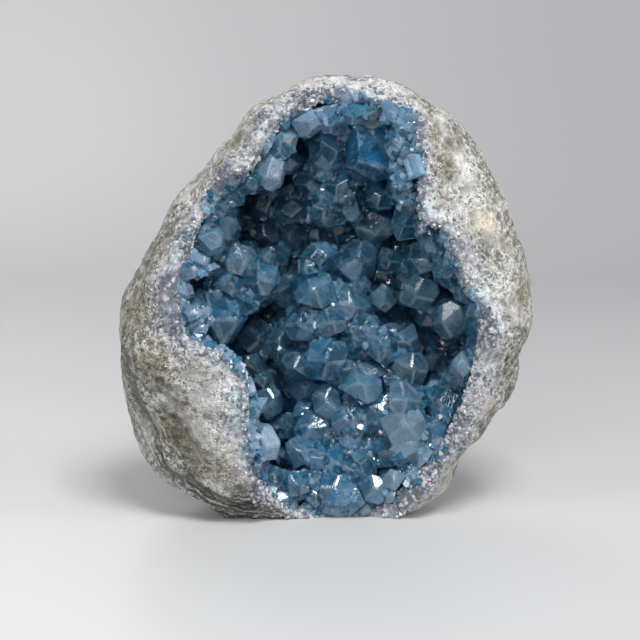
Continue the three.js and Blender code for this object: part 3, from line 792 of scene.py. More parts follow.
# Looks of a crystal, as numbers from 0 up to about 1: how milky and vivid it is, and how much painted
# shade it takes
LOOKS = ("milky", "vivid", "painted_shade")
MILKY_REACH = (2, 17)  # distance from the broken edge over which crystals turn clear, in mm
MILKY_THERE = (0.5, 1)  # how milky they are beside it
MILKY_ANYWHERE = 0.25  # and at most elsewhere
VIVID_ANYWHERE = 0.6
SHADE_DEPTH = (-2, 12)  # y over which they take painted shade, the further back in the hollow the darker
SHADE_PLACES = ((-27, 62, 20), (-24, 120, 12), (3, 40, 10))  # x, z, radius of dark places, where painted shade starts further forward, from the y of the next line
SHADE_START = (-15, -4)
VIVID_PLACES = ((4, 35, 19),)  # x, z, radius
# Those that stand out, by their number in CRYSTALS
VIVID = {5: 1, 9: 1, 33: 0.9, 38: 0.5, 78: 0.7}
MILKY = {
    2: 0.8, 3: 0.9, 4: 0.8, 29: 0.7, 32: 0.8, 33: 0, 34: 0.5, 38: 0, 39: 0.7, 44: 1.4, 66: 0.3,
    70: 0.8, 71: 0.8, 80: 0.8,
}


def chance(index, salt):
    """A number from 0 to 1 that looks random and is the same every time."""
    s = math.sin(index * 12.9898 + salt * 78.233) * SCRAMBLE
    return s - math.floor(s)


def between(limits, share):
    """The value that lies a share of the way from the first limit to the second."""
    return limits[0] + (limits[1] - limits[0]) * share


def bell(p, x, z, radius):
    """1 at a place in x and z, and exp(-(distance / radius)^2) round it."""
    return np.exp(-((p[..., 0] - x) ** 2 + (p[..., 2] - z) ** 2) / radius**2)


def swell(p, facing):
    """How far the crust swells to the window: bells in x and z, on walls that face it."""
    height = np.zeros(p.shape[:-1])
    for x, z, radius, amount in SWELLS:
        height += amount * bell(p, x, z, radius)
    return height * smoothstep(facing, 0, FACING_FULL)


def layer_top(angle, latitude):
    """The massive layer's free surface: the nodule's, set in by its wall and the layer, and
    moved to the window by the swell."""
    point = inside(angle, latitude, WALL + CRUST)
    point[..., 1] -= swell(point, nodule(angle, latitude)[1][..., 1])
    return point


def massive_layer():
    """Profiles of the massive layer: its back, 3 gaps clear of the rind's wall, then its top."""
    angle = np.arange(CRUST_ANGLES)[:, None] * 360 / CRUST_ANGLES
    lip = lip_latitude(angle)
    steps = np.linspace(0, 1, INNER_RINGS + 1)
    back = inside(angle, 180 + (lip + SHORT_OF_LIP - 180) * steps, WALL + 3 * GAP)
    start = lip + TOP_START
    return np.concatenate((back, layer_top(angle, start + (180 - start) * steps)), axis=1)


def crystal_space():
    """Profiles of the space that crystals may fill: from the middle of the massive layer, past
    the broken edge, and straight on out of the window."""
    angle = np.arange(CRUST_ANGLES)[:, None] * 360 / CRUST_ANGLES
    lip = lip_latitude(angle)
    start = lip + SPACE_START
    deep = inside(angle, 180 + (start - 180) * np.linspace(0, 1, INNER_RINGS), WALL + CRUST / 2)
    past = LIP_ROUND + 2 * GAP
    edge = inside(angle, lip, WALL + GAP) + lip_way(angle, lip) * past
    front = edge - (0, GAP, 0)
    outer, normal = nodule(angle, lip)
    outer = outer + normal * relief(outer)[..., None]
    grounded = outer[..., 2] < FLOOR
    front[..., 1] = np.where(grounded, outer[..., 1] - past, front[..., 1])
    front[..., 2] = np.where(grounded, GAP, front[..., 2])
    far = front.copy()
    far[..., 1] = MIDDLE[1] - FRONT_DEPTH - REACH
    pole = np.zeros_like(far) + (MIDDLE[0], MIDDLE[1] - FRONT_DEPTH - REACH, MIDDLE[2])
    return np.concatenate((deep, edge, front, far, pole), axis=1)


def buried(p):
    """True where a point lies in the massive layer or behind it."""
    away = p - MIDDLE
    angle = np.degrees(np.arctan2(away[:, 2], away[:, 0]))
    r2 = away[:, 0] ** 2 + away[:, 2] ** 2
    radius = outline_radius(angle) - WALL - CRUST
    depth = np.where(away[:, 1] < 0, FRONT_DEPTH, BACK_DEPTH) - WALL - CRUST
    steep = np.column_stack((away[:, 0] / radius**2, away[:, 1] / depth**2, away[:, 2] / radius**2))
    y = away[:, 1] + swell(p, unit(steep)[:, 1])
    in_window = (away[:, 1] < 0) & (r2 < window_radius(angle) ** 2)
    return ~in_window & (r2 / radius**2 + (y / depth) ** 2 > 1)


def corners_of(normals, distances):
    """The corners of the space under a set of planes: of all points where three planes meet, the
    ones that no plane cuts off. Also gives which planes each corner lies on."""
    trios = np.array(list(itertools.combinations(range(len(normals)), 3)))
    walls = normals[trios]
    meeting = np.abs(np.linalg.det(walls)) > PARALLEL
    corners = np.linalg.solve(walls[meeting], distances[trios[meeting]][..., None])[..., 0]
    over = corners @ normals.T - distances
    kept = np.flatnonzero(np.all(over < NEAR, axis=1))
    _, single = np.unique(np.round(corners[kept] / NEAR / 10), axis=0, return_index=True)
    return corners[kept[single]], np.abs(over[kept[single]]) < 10 * NEAR


def facets(width, thickness, proud, index):
    """A crystal's planes: four sloping sides, a four-sided tip with a short edge, a wedge-shaped
    root, and on a wide one two flat sides. It grows along +Z from its foot to proud."""
    planes = []
    side, root = math.radians(SIDE_SLOPE), math.radians(ROOT_SLOPE)
    depth = min(ROOT, ROOT_SHARE * width)
    chisel = min(CHISEL, CHISEL_SHARE * width)
    for sign in (-1, 1):
        tip = math.radians(between(TIP_SLOPE, chance(index, 9 + sign)))
        end = math.radians(between(END_SLOPE, chance(index, 12 + sign)))
        planes.append((0, sign * math.sin(tip), math.cos(tip), proud * math.cos(tip)))
        planes.append((sign * math.sin(end), 0, math.cos(end), (proud - chisel) * math.cos(end)))
        planes.append((0, sign * math.sin(root), -math.cos(root), depth * math.cos(root)))
        if width >= SLAB_WIDTH:
            planes.append((sign, 0, 0, thickness / 2 * between(UNEVEN, chance(index, 3 + sign))))
        for across in (-1, 1):
            uneven = between(UNEVEN, chance(index, 20 + 3 * sign + across))
            reach = width / 2 * math.cos(side) * uneven
            planes.append((sign * math.sin(side), across * math.cos(side), 0, reach))
    planes = np.array(planes)
    return planes[:, :3], planes[:, 3]


def worn(normals, distances, width):
    """Adds a narrow plane along each edge: its normal halves those of the two faces that meet
    there, and it cuts the edge off by half the width."""
    corners, on = corners_of(normals, distances)
    shared = np.einsum("ci,cj->ij", on.astype(int), on.astype(int))
    i, j = np.nonzero(np.triu(shared >= 2, 1))
    middle = unit(normals[i] + normals[j])
    reach = np.array([np.max(corners @ m) for m in middle]) - width / 2
    return np.concatenate((normals, middle)), np.concatenate((distances, reach))


def turned(growth, spin):
    """The turn that takes +Z to the way of growth, after a spin round it."""
    turn = Vector((0, 0, 1)).rotation_difference(Vector(growth)).to_matrix()
    return np.array(turn @ Matrix.Rotation(math.radians(spin), 3, "Z"))


def grown(corners, foot, growth, spin, looks):
    """One crystal as a closed mesh that keeps clear of the ground, and whose faces carry its
    looks. It is still to be fused with others."""
    points = corners @ turned(growth, spin).T + foot + CENTRING
    points[:, 2] = np.maximum(points[:, 2], GAP)
    shape = bmesh.new()
    for point in points / 1000:
        shape.verts.new(point)
    bmesh.ops.remove_doubles(shape, verts=shape.verts[:], dist=SMALLEST / 1000)
    bmesh.ops.convex_hull(shape, input=shape.verts[:])
    loose = [v for v in shape.verts if not v.link_faces]
    bmesh.ops.delete(shape, geom=loose, context="VERTS")
    bmesh.ops.recalc_face_normals(shape, faces=shape.faces[:])
    mesh = bpy.data.meshes.new("crystal")
    shape.to_mesh(mesh)
    shape.free()
    for name, look in zip(LOOKS, looks):
        keep_number(mesh, name, np.full(len(mesh.polygons), look), "FACE")
    return bpy.data.objects.new("crystal", mesh)


def fused(body, operation, others):
    """The piece's mesh joined with or cut by a group of other closed meshes."""
    group = bpy.data.collections.new("others")
    for other in others:
        group.objects.link(other)
    bpy.context.scene.collection.children.link(group)
    cut = body.modifiers.new("cut", "BOOLEAN")
    cut.solver = "MANIFOLD"
    cut.operation = operation
    cut.operand_type = "COLLECTION"
    cut.collection = group
    mesh = bpy.data.meshes.new_from_object(body.evaluated_get(bpy.context.evaluated_depsgraph_get()))
    body.modifiers.remove(cut)
    old = body.data
    body.data = mesh
    bpy.data.meshes.remove(old)
    for other in others:
        bpy.data.meshes.remove(other.data)
    bpy.data.collections.remove(group)


# Colours and clearness of the crystals
TEAL = (0.052, 0.245, 0.39)
SKY = (0.105, 0.40, 0.66)
AZURE = (0.035, 0.30, 0.58)
MILK = (0.57, 0.79, 0.98)
# The next colour is painted shade, laid on crystals deep in the hollow and on the massive layer between
# them
SHADE_DARK = (0.010, 0.035, 0.055)
FROST = (0.54, 0.76, 0.95)
# The next colour is painted: dark reflections of facets behind, seen through a crystal
PAINTED_FACET_DARK = (0.012, 0.085, 0.155)
DEPTH_COLOUR = (0.20, 0.62, 0.88, 1)
DEPTH_DENSITY = 35
CELESTITE_IOR = 1.62
CRYSTAL_CLEARNESS = 0.74
CRYSTAL_GLOSS = 0.28
WORN_FACE = 0.9  # faces narrower than this are worn edges, in mm


def celestite_finish():
    """Clear celestite, blue in its depth, with darker and paler patches painted in as reflections of
    the facets behind, cloudy veils, fine growth lines and thin healed cracks. Each crystal is as
    milky and vivid as its faces say and takes the painted shade they carry, darker deep in the
    hollow, and worn edges are a little frosted, partly as a painted highlight along them."""
    celestite = Finish("clear_celestite")
    place = celestite.place()
    milky = celestite.number("milky")
    cloud = celestite.noise(place, 9, 3, 0.6)
    veil = celestite.noise(place, 3.2, 4, 0.65, 1.0)
    colour = celestite.blend(celestite.step(cloud, 0.36, 0.64), TEAL, SKY)
    colour = celestite.blend(celestite.number("vivid"), colour, AZURE)
    # Painted reflections: darker and paler cells that stand in for facets seen through the crystal
    painted_facets = celestite.cells(place, 6.5)
    painted_facets = painted_facets + 0.5 * celestite.cells(place, 3.5)
    colour = celestite.blend(celestite.step(painted_facets, 0.80, 0.55) * 0.65, colour, PAINTED_FACET_DARK)
    colour = celestite.blend(celestite.step(painted_facets, 0.85, 1.05) * 0.18, colour, FROST)
    colour = celestite.blend(milky * (0.45 + 0.6 * cloud), colour, MILK)
    # Painted shade: crystals deep in the hollow and the massive layer between them are darkened
    painted_shade = celestite.number("painted_shade")
    colour = celestite.blend(painted_shade * 0.62, colour, SHADE_DARK)
    sockets = {"Vector": place, "Scale": 1000 / 9}
    web = celestite.node("TexVoronoi", {"feature": "DISTANCE_TO_EDGE"}, sockets)
    cracks = celestite.step(web, 0.07, 0.0) * celestite.step(veil, 0.50, 0.6)
    sockets = {"Vector": place, "Scale": 120, "Distortion": 3}
    wave = celestite.node("TexWave", {"bands_direction": "DIAGONAL"}, sockets)
    streaks = celestite.step(wave, 0.75, 1.0) * celestite.step(celestite.noise(place, 7, 2), 0.56, 0.66)
    frost_and_edge_glint = (celestite.step(veil, 0.54, 0.72) * 0.34).larger(cracks * 0.5).larger(streaks * 0.35)
    # Worn edges are frosted, partly as the real whitening of chipped edges and partly as a painted
    # highlight along them
    frost_and_edge_glint = frost_and_edge_glint.larger(celestite.number("worn") * celestite.step(veil, 0.36, 0.60) * 0.55)
    # Less frost where painted shade lies
    frost_and_edge_glint = frost_and_edge_glint * (1 - 0.7 * painted_shade)
    colour = celestite.blend(frost_and_edge_glint, colour, FROST)
    fine = celestite.noise(place, 0.9, 2, 0.6)
    hills = celestite.noise(place, 4.5, 2, 0.5)
    sockets = {"Strength": 0.35, "Distance": 0.0010, "Height": hills + 0.25 * fine}
    bump = celestite.node("Bump", None, sockets)
    sockets = {
        "Base Color": colour,
        "Roughness": 0.05 + 0.25 * frost_and_edge_glint + 0.15 * milky,
        "IOR": CELESTITE_IOR,
        "Specular IOR Level": CRYSTAL_GLOSS,
        "Transmission Weight": CRYSTAL_CLEARNESS,
        "Normal": bump,
    }
    surface = celestite.node("BsdfPrincipled", None, sockets)
    depth = celestite.node("VolumeAbsorption", None, {"Color": DEPTH_COLOUR, "Density": DEPTH_DENSITY})
    return celestite.done(surface, depth)


def mesh_numbers(parts, name, kind=float, size=1):
    """One property of all the points, edges, faces or face corners of a mesh, a row for each."""
    numbers = np.empty(len(parts) * size, kind)
    parts.foreach_get(name, numbers)
    return numbers.reshape(-1, size) if size > 1 else numbers


def mark_worn(mesh):
    """Marks the narrow faces of a mesh: those whose area is small for the length round them. A
    long face's width is twice its area over that length."""
    area = mesh_numbers(mesh.polygons, "area")
    sides = mesh_numbers(mesh.polygons, "loop_total", int)
    corner_edges = mesh_numbers(mesh.loops, "edge_index", int)
    points = mesh_numbers(mesh.vertices, "co", float, 3)
    ends = mesh_numbers(mesh.edges, "vertices", int, 2)
    lengths = np.linalg.norm(points[ends[:, 1]] - points[ends[:, 0]], axis=1)[corner_edges]
    round_it = np.bincount(np.repeat(np.arange(len(sides)), sides), lengths)
    keep_number(mesh, "worn", 1000 * 2 * area < WORN_FACE * round_it, "FACE")


def crystal(tip, way, length, width, thickness, spin, index, *looks):
    """One crystal, worn along its edges, that ends in its tip."""
    normals, distances = facets(width, thickness, length, index)
    corners, _ = corners_of(*worn(normals, distances, WORN_EDGE * thickness))
    return grown(corners, tip - way * length, way, spin, looks)


def off_edge(tips):
    """How far each point lies from the broken edge, in mm."""
    angle = np.degrees(np.arctan2(tips[:, 2] - MIDDLE[2], tips[:, 0] - MIDDLE[0]))
    return np.linalg.norm(tips - nodule(angle, lip_latitude(angle))[0], axis=1)


def lengths_to_layer(tips, ways):
    """How far each crystal's axis runs from its tip to the massive layer, in whole mm."""
    lengths = np.full(len(tips), float(SHORTEST))
    for _ in range(BACK_DEPTH - SHORTEST):
        lengths += ~buried(tips - ways * lengths[:, None])
    return lengths


def grown_together(crystals):
    """A group of crystals as one closed piece."""
    piece = crystals.pop()
    bpy.context.scene.collection.objects.link(piece)
    fused(piece, "UNION", crystals)
    return piece


def dress(piece, finish):
    """Gives a fused piece its one finish and flat faces, and marks the worn ones."""
    piece.data.materials.clear()
    piece.data.materials.append(finish)
    piece.data.shade_flat()
    mark_worn(piece.data)


clear = celestite_finish()
dice = np.random.default_rng(SEED)
tips = np.array([row[:3] for row in CRYSTALS], float)
ways = unit(np.array([row[3:6] for row in CRYSTALS], float))
widths, thicknesses, spins = np.array([row[6:] for row in CRYSTALS], float).T

mains = np.repeat(np.arange(len(CRYSTALS)), COMPANIONS)
sideways = unit(np.cross(ways[mains], dice.normal(size=(len(mains), 3))))
offset = dice.uniform(*COMPANION_OFFSET, len(mains)) * widths[mains]
set_back = dice.uniform(*COMPANION_SET_BACK, len(mains)) * widths[mains]
more_tips = tips[mains] + sideways * offset[:, None] - ways[mains] * set_back[:, None]
lean = sideways + COMPANION_STRAY * dice.normal(size=sideways.shape)
more_ways = unit(ways[mains] + COMPANION_LEAN * lean)
more_widths = dice.uniform(*COMPANION_WIDTH, len(mains)) * widths[mains]
more_thicknesses = more_widths * dice.uniform(*COMPANION_FLATNESS, len(mains))

tips = np.concatenate((tips, more_tips))
ways = np.concatenate((ways, more_ways))
widths = np.concatenate((widths, more_widths))
thicknesses = np.concatenate((thicknesses, more_thicknesses))
spins = np.concatenate((spins, dice.uniform(0, 180, len(mains))))
lengths = lengths_to_layer(tips, ways)

angle = dice.uniform(0, 360, FILLERS)
start = lip_latitude(angle) + TOP_START
latitude = np.degrees(np.arccos(dice.uniform(-1, np.cos(np.radians(start)))))
fringe = start + FRINGE_REACH * dice.random(FILLERS)
latitude = np.where(dice.random(FILLERS) < FRINGE_SHARE, fringe, latitude)
feet = layer_top(angle, latitude)
beside = layer_top(angle + 0.5, latitude) - feet
ahead = layer_top(angle, latitude + 0.5) - feet
upward = unit(np.cross(beside, ahead))
upward *= np.sign(np.sum(upward * (MIDDLE - feet), axis=1))[:, None]
filler_ways = unit(upward + FILLER_LEAN * dice.normal(size=(FILLERS, 3)))
filler_widths = dice.uniform(*FILLER_WIDTH, FILLERS)
prouds = dice.uniform(*FILLER_PROUD, FILLERS)

tips = np.concatenate((tips, feet + filler_ways * prouds[:, None]))
ways = np.concatenate((ways, filler_ways))
lengths = np.concatenate((lengths, prouds))
widths = np.concatenate((widths, filler_widths))
thicknesses = np.concatenate((thicknesses, FILLER_FLATNESS * filler_widths))
spins = np.concatenate((spins, dice.uniform(0, 180, FILLERS)))

milky = (1 - smoothstep(off_edge(tips), *MILKY_REACH)) * dice.uniform(*MILKY_THERE, len(tips))
milky += MILKY_ANYWHERE * dice.random(len(tips)) ** 2
vivid = VIVID_ANYWHERE * dice.random(len(tips)) ** 1.5
for place in VIVID_PLACES:
    vivid = np.maximum(vivid, bell(tips, *place))
vivid[list(VIVID)] = list(VIVID.values())
milky[list(MILKY)] = list(MILKY.values())
# Painted shade: the deeper a crystal's tip lies in the hollow the darker it is, and more so in the dark
# places
painted_shade = smoothstep(tips[:, 1], *SHADE_DEPTH)
for place in SHADE_PLACES:
    painted_shade = np.maximum(painted_shade, bell(tips, *place) * smoothstep(tips[:, 1], *SHADE_START))
shapes = zip(tips, ways, lengths, widths, thicknesses, spins, range(len(tips)), milky, vivid, painted_shade)
crystals = [crystal(*row) for row in shapes]

points, faces = round_body(massive_layer())
crust = made_mesh("celestite_crust", points + CENTRING, faces, clear, smooth=False)
# The massive layer between the crystals takes full painted shade
keep_number(crust.data, "painted_shade", np.ones(len(faces)), "FACE")
points, faces = round_body(crystal_space())
space = made_mesh("space", points + CENTRING, faces, clear, smooth=False)
together = grown_together(crystals)
bpy.context.scene.collection.objects.unlink(space)
fused(together, "INTERSECT", [space])
bpy.context.scene.collection.objects.unlink(together)
fused(crust, "UNION", [together])
dress(crust, clear)
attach(crust, "root")
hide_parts("crystal_crust")

# ---------------------------------------------------------------------------------------------
# Edge crystals: small, pale and blunt celestite that grew on the inner half of the rind's broken
# edge, in patches, and in thicker clusters that bulge into the window.
# ---------------------------------------------------------------------------------------------
EDGE_CRYSTALS = 520
EDGE_WIDTH = (2.2, 9.0)
EDGE_SMALLNESS = 2.2  # the higher, the fewer large ones
EDGE_PROUD = (0.25, 0.45)  # in widths
EDGE_BAND = (0.5, 1.05)  # in walls, from the outside in
EDGE_STAND = 0.6  # where they stand on the round of the edge, as a share of its height
EDGE_LEAN = (0.8, 0.45)  # into the window, and by chance
EDGE_FLATNESS = 0.8
EDGE_MILKY = (0.45, 1)
EDGE_VIVID = 0.5
EDGE_PATCHES = 22
EDGE_BARE = -0.25  # none grow where the noise is under this
EDGE_NUMBERS = 2000  # where their numbers start: from its number each crystal has its own slopes
EDGE_SEED = 23

# The clusters: x, y, z, growth x, y, z, how milky
EDGE_CLUSTERS = (
    (24, -31, 157, -0.3, -0.9, -0.4, 0.5), (27, -31, 152, -0.5, -0.8, -0.1, 0.7),
    (27, -32, 146, -0.5, -0.8, 0.0, 0.5), (29, -33, 141, -0.5, -0.8, 0.1, 0.7),
    (28, -32, 134, -0.5, -0.8, 0.0, 0.5), (31, -32, 129, -0.5, -0.8, 0.1, 0.6),
    (30, -34, 148, -0.3, -0.9, 0.1, 0.8), (31, -34, 137, -0.3, -0.9, 0.1, 0.8),
    (29, -31, 156, -0.2, -0.9, 0.0, 0.8), (-29, -42, 47, 0.3, -0.95, 0.1, 1.3),
    (-30, -41.5, 41, 0.3, -0.95, 0.1, 1.3), (-29, -41, 34, 0.3, -0.95, 0.1, 1.3),
    (-33, -40.5, 44, 0.2, -0.95, 0.1, 1.3), (-33, -40.5, 37, 0.2, -0.95, 0.1, 1.3),
    (-27, -38.5, 28, 0.3, -0.95, 0.1, 1.3),
    (-49, -39, 86, 0.5, -0.85, 0.1, 1.0), (-47, -37, 82, 0.6, -0.8, 0.1, 0.9),
    (-46, -36, 104, 0.5, -0.85, 0.0, 1.0),
)
CLUSTER_COUNT = 7
CLUSTER_SPREAD = 2.0
CLUSTER_LEAN = 0.4
CLUSTER_WIDTH = (2.4, 5.5)
CLUSTER_FLATNESS = 0.85
CLUSTER_LENGTH = 7
CLUSTER_MILKY = (0.7, 1.1)
CLUSTER_VIVID = 0.6
# Most painted shade that a crystal of a cluster takes, at random up to it
CLUSTER_SHADE = 0.3
CLUSTER_NUMBERS = 2600

dice = np.random.default_rng(EDGE_SEED)
angle = dice.uniform(0, 360, EDGE_CRYSTALS)
lip = lip_latitude(angle)
depth = dice.uniform(*EDGE_BAND, EDGE_CRYSTALS)
feet = inside(angle, lip, WALL * depth[:, None])
feet += lip_way(angle, lip) * LIP_ROUND * EDGE_STAND
forward = np.array((0, -1, 0))
ways = EDGE_LEAN[0] * lip_way(angle, lip) + forward
ways = unit(ways + EDGE_LEAN[1] * dice.normal(size=(EDGE_CRYSTALS, 3)))
widths = between(EDGE_WIDTH, dice.random(EDGE_CRYSTALS) ** EDGE_SMALLNESS)
widths *= 0.5 + 0.5 * smoothstep(depth, *EDGE_BAND)
prouds = widths * dice.uniform(*EDGE_PROUD, EDGE_CRYSTALS)
tips = feet + ways * prouds[:, None]
spins = dice.uniform(0, 180, EDGE_CRYSTALS)
milky = dice.uniform(*EDGE_MILKY, EDGE_CRYSTALS)
vivid = EDGE_VIVID * dice.random(EDGE_CRYSTALS)
thicknesses = EDGE_FLATNESS * widths
numbers = itertools.count(EDGE_NUMBERS)
shapes = zip(tips, ways, prouds, widths, thicknesses, spins, numbers, milky, vivid, 0 * vivid)
planted = (lumps(feet, EDGE_PATCHES, salt=31) > EDGE_BARE) & (feet[:, 2] > 0)
group = [crystal(*row) for row, here in zip(shapes, planted) if here]

places = np.repeat(np.array(EDGE_CLUSTERS, float), CLUSTER_COUNT, axis=0)
tips = places[:, :3] + CLUSTER_SPREAD * np.clip(dice.normal(size=(len(places), 3)), -1.5, 1.5)
ways = unit(unit(places[:, 3:6]) + CLUSTER_LEAN * dice.normal(size=tips.shape))
widths = dice.uniform(*CLUSTER_WIDTH, len(places))
lengths = np.full(len(places), CLUSTER_LENGTH)
spins = dice.uniform(0, 180, len(places))
milky = places[:, 6] * dice.uniform(*CLUSTER_MILKY, len(places))
# Each cluster crystal takes a random share of vividness and of painted shade
vivid, painted_shade = dice.uniform(0, (CLUSTER_VIVID, CLUSTER_SHADE), (len(places), 2)).T
thicknesses = CLUSTER_FLATNESS * widths
numbers = itertools.count(CLUSTER_NUMBERS)
shapes = zip(tips, ways, lengths, widths, thicknesses, spins, numbers, milky, vivid, painted_shade)
group += [crystal(*row) for row in shapes]

edge_crystals = grown_together(group)
edge_crystals.name = "edge_crystals"
dress(edge_crystals, clear)
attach(edge_crystals, "root")

# ---------------------------------------------------------------------------------------------
# Fine crystals: the youngest celestite, grown in the corners between the larger crystals of the
# crust and of the broken edge.
# ---------------------------------------------------------------------------------------------
FINE_CRYSTALS = 5000
FINE_WIDTH = (1.0, 3.8)
FINE_SMALLNESS = 1.8
FINE_LEAN = 0.4
FINE_CLEARNESS = 0.7
FINE_ROUGHNESS = 0.08
FINE_SEED = 41

# The forms that small crystals repeat: how many, their thickness and height in widths
SMALL_FORMS = 8
SMALL_SHAPE = (0.8, 0.6)
SMALL_NUMBERS = 3000

# Corners between faces that they grow in
SHARP_CORNER = 0.85  # cosine of the least angle between the two normals
HOLLOW = 0.02  # least depth of one face's middle in front of the other face, in mm
FACING_BACK = 0.2  # largest y of their mean normal


def small_form(index):
    """A small crystal, 1 wide, as corners and triangles."""
    corners, _ = corners_of(*facets(1.0, *SMALL_SHAPE, SMALL_NUMBERS + index))
    shape = bmesh.new()
    for corner in corners:
        shape.verts.new(corner)
    bmesh.ops.convex_hull(shape, input=shape.verts[:])
    shape.verts.index_update()
    points = np.array([v.co for v in shape.verts])
    triangles = np.array([[v.index for v in f.verts] for f in shape.faces])
    shape.free()
    return points, triangles


def turns(ways, spins):
    """A turn for each way that takes +Z to it: its X is square to the way and spun round it."""
    side = unit(np.cross(ways, np.stack((np.sin(spins), np.cos(spins), 0 * spins), -1) + 1e-3))
    return np.stack((side, np.cross(ways, side), ways), -1)


def small_crystals(feet, ways, sizes, dice):
    """Many small crystals as one mesh: every form is repeated at its share of the feet, turned to
    the way there and scaled to the size. Gives points, triangles and a number for each point
    that is the same all over a crystal."""
    turn = turns(ways, dice.uniform(0, math.pi, len(feet))) * sizes[:, None, None]
    lots = dice.random(len(feet))
    all_points, all_faces, all_lots, count = [], [], [], 0
    for index in range(SMALL_FORMS):
        form, triangles = small_form(index)
        mine = slice(index, None, SMALL_FORMS)
        points = np.einsum("nij,kj->nki", turn[mine], form) + feet[mine][:, None]
        first = count + np.arange(len(points))[:, None, None] * len(form)
        all_points.append(points.reshape(-1, 3))
        all_faces.append((triangles + first).reshape(-1, 3))
        all_lots.append(np.repeat(lots[mine], len(form)))
        count += points.shape[0] * points.shape[1]
    points = np.concatenate(all_points)
    points[:, 2] = np.maximum(points[:, 2], GAP)
    return points, np.concatenate(all_faces).tolist(), np.concatenate(all_lots)


def inner_corners(mesh):
    """The edges of a closed mesh where two faces meet in a hollow angle: their ends and the mean
    of their faces' normals, in mm."""
    sides = mesh_numbers(mesh.polygons, "loop_total", int)
    corner_edges = mesh_numbers(mesh.loops, "edge_index", int)
    points = 1000 * mesh_numbers(mesh.vertices, "co", float, 3)
    ends = mesh_numbers(mesh.edges, "vertices", int, 2)
    order = np.argsort(corner_edges, kind="stable")
    pairs = np.repeat(np.arange(len(sides)), sides)[order].reshape(-1, 2)
    normals = mesh_numbers(mesh.polygons, "normal", float, 3)[pairs]
    centres = 1000 * mesh_numbers(mesh.polygons, "center", float, 3)[pairs]
    hollow = np.sum(normals[:, 0] * (centres[:, 1] - centres[:, 0]), axis=1) > HOLLOW
    sharp = np.sum(normals[:, 0] * normals[:, 1], axis=1) < SHARP_CORNER
    mean = unit(normals.sum(axis=1) + 1e-6)
    kept = hollow & sharp & (mean[:, 1] < FACING_BACK)
    return points[ends][kept], mean[kept]


def fine_finish():
    """Fine celestite: clear to milky blue, with one shade to each crystal."""
    fine = Finish("fine_celestite")
    lot = fine.number("lot")
    colour = fine.blend(fine.step(lot, 0.1, 0.75), TEAL, SKY)
    colour = fine.blend(fine.step(lot, 0.6, 0.9) * 0.8, colour, FROST)
    sockets = {"Base Color": colour, "Roughness": FINE_ROUGHNESS, "IOR": CELESTITE_IOR}
    sockets["Transmission Weight"] = FINE_CLEARNESS
    return fine.done(fine.node("BsdfPrincipled", None, sockets))


dice = np.random.default_rng(FINE_SEED)
corners = inner_corners(crust.data), inner_corners(edge_crystals.data)
ends, normals = (np.concatenate(both) for both in zip(*corners))
reach = np.linalg.norm(ends[:, 1] - ends[:, 0], axis=1)
chosen = dice.choice(len(ends), FINE_CRYSTALS, p=reach / reach.sum())
along = dice.random((FINE_CRYSTALS, 1))
feet = ends[chosen, 0] * (1 - along) + ends[chosen, 1] * along
ways = unit(normals[chosen] + FINE_LEAN * dice.normal(size=feet.shape))
sizes = between(FINE_WIDTH, dice.random(FINE_CRYSTALS) ** FINE_SMALLNESS)
points, faces, lots = small_crystals(feet, ways, sizes, dice)
fine_crystals = made_mesh("fine_crystals", points, faces, fine_finish(), smooth=False)
keep_number(fine_crystals.data, "lot", lots)
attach(fine_crystals, "root")

# ---------------------------------------------------------------------------------------------
# Druse: a sugary coat of tiny white and lilac crystals on the rind round the window, densest at
# the broken edge.
# ---------------------------------------------------------------------------------------------
DRUSE_CRYSTALS = 4200
DRUSE_START = RIND_BACK_RINGS + RIND_FRONT_RINGS + RIND_LIP_RINGS - 4  # a ring inside the edge
DRUSE_RINGS = 30  # how many of the rind's rings it covers from there outwards
DRUSE_WIDTH = (0.6, 1.9)
DRUSE_SMALLER = (0.3, 1)
DRUSE_FADE = 14  # distance from the broken edge at which only the smallest are left
DRUSE_LEAN = 0.45
DRUSE_PATCHES = 13
DRUSE_BARE = (-0.5, 0.25)  # each one grows where the noise is over a number between these
DRUSE_SEED = 37

DRUSE_WHITE = (0.66, 0.67, 0.69)
DRUSE_BLUE = (0.24, 0.30, 0.38)
DRUSE_DARK = (0.12, 0.13, 0.17)
DRUSE_CLEARNESS = 0.4
DRUSE_GLOSS = 0.35
DRUSE_ROUGHNESS = 0.25


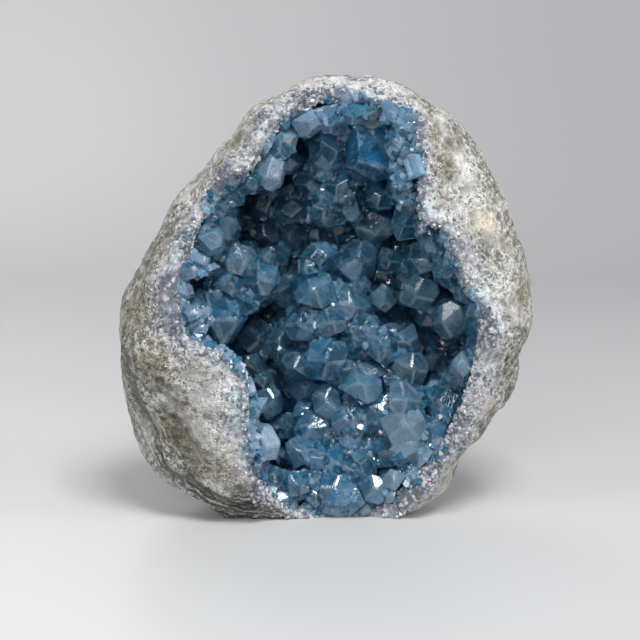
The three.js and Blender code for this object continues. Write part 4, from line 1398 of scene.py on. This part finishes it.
def druse_finish():
    """Fine celestite: white with pale blue, icy and slate patches and some dark crystals, sugary
    and half clear."""
    druse = Finish("white_druse")
    place = druse.place()
    lot = druse.number("lot")
    cloud = druse.noise(place, 9, 3, 0.6)
    colour = druse.blend(druse.step(cloud, 0.40, 0.54), DRUSE_BLUE, DRUSE_WHITE)
    colour = druse.blend(stain(druse, place, SLATE_SPOTS, 2 * cloud - 1) * 0.8, colour, SLATE)
    colour = druse.blend(stain(druse, place, ICE_SPOTS, 2 * cloud - 1) * 0.8, colour, ICE)
    colour = druse.blend(druse.step(lot, 0.45, 0.9) * 0.85, colour, DRUSE_DARK)
    sockets = {"Base Color": colour, "Roughness": DRUSE_ROUGHNESS, "IOR": CELESTITE_IOR}
    sockets |= {"Specular IOR Level": DRUSE_GLOSS, "Transmission Weight": DRUSE_CLEARNESS}
    return druse.done(druse.node("BsdfPrincipled", None, sockets))


dice = np.random.default_rng(DRUSE_SEED)
outwards = DRUSE_RINGS * dice.uniform(0, 1, DRUSE_CRYSTALS) ** 1.5
ring = DRUSE_START - outwards.astype(int)
column = dice.integers(0, RIND_ANGLES, DRUSE_CRYSTALS)
corner = rows[column, ring]
along = rows[(column + 1) % RIND_ANGLES, ring] - corner
across = rows[column, ring + 1] - corner
feet = corner + along * dice.uniform(0, 1, (DRUSE_CRYSTALS, 1))
feet = feet + across * dice.uniform(0, 1, (DRUSE_CRYSTALS, 1))
upward = unit(np.cross(along, across))
behind = MIDDLE + (0, BACK_DEPTH / 2, 0)
upward *= np.sign(np.sum(upward * (feet - behind), axis=1))[:, None]
ways = unit(upward + DRUSE_LEAN * dice.normal(size=upward.shape))
nearness = 1 - np.clip(from_edge[column, ring] / DRUSE_FADE, 0, 1)
sizes = between(DRUSE_WIDTH, nearness * dice.uniform(*DRUSE_SMALLER, DRUSE_CRYSTALS))
patchy = lumps(feet, DRUSE_PATCHES, salt=51) > dice.uniform(*DRUSE_BARE, DRUSE_CRYSTALS)
points, faces, lots = small_crystals(feet[patchy] + CENTRING, ways[patchy], sizes[patchy], dice)
druse = made_mesh("edge_druse", points, faces, druse_finish(), smooth=False)
keep_number(druse.data, "lot", lots)
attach(druse, "root")
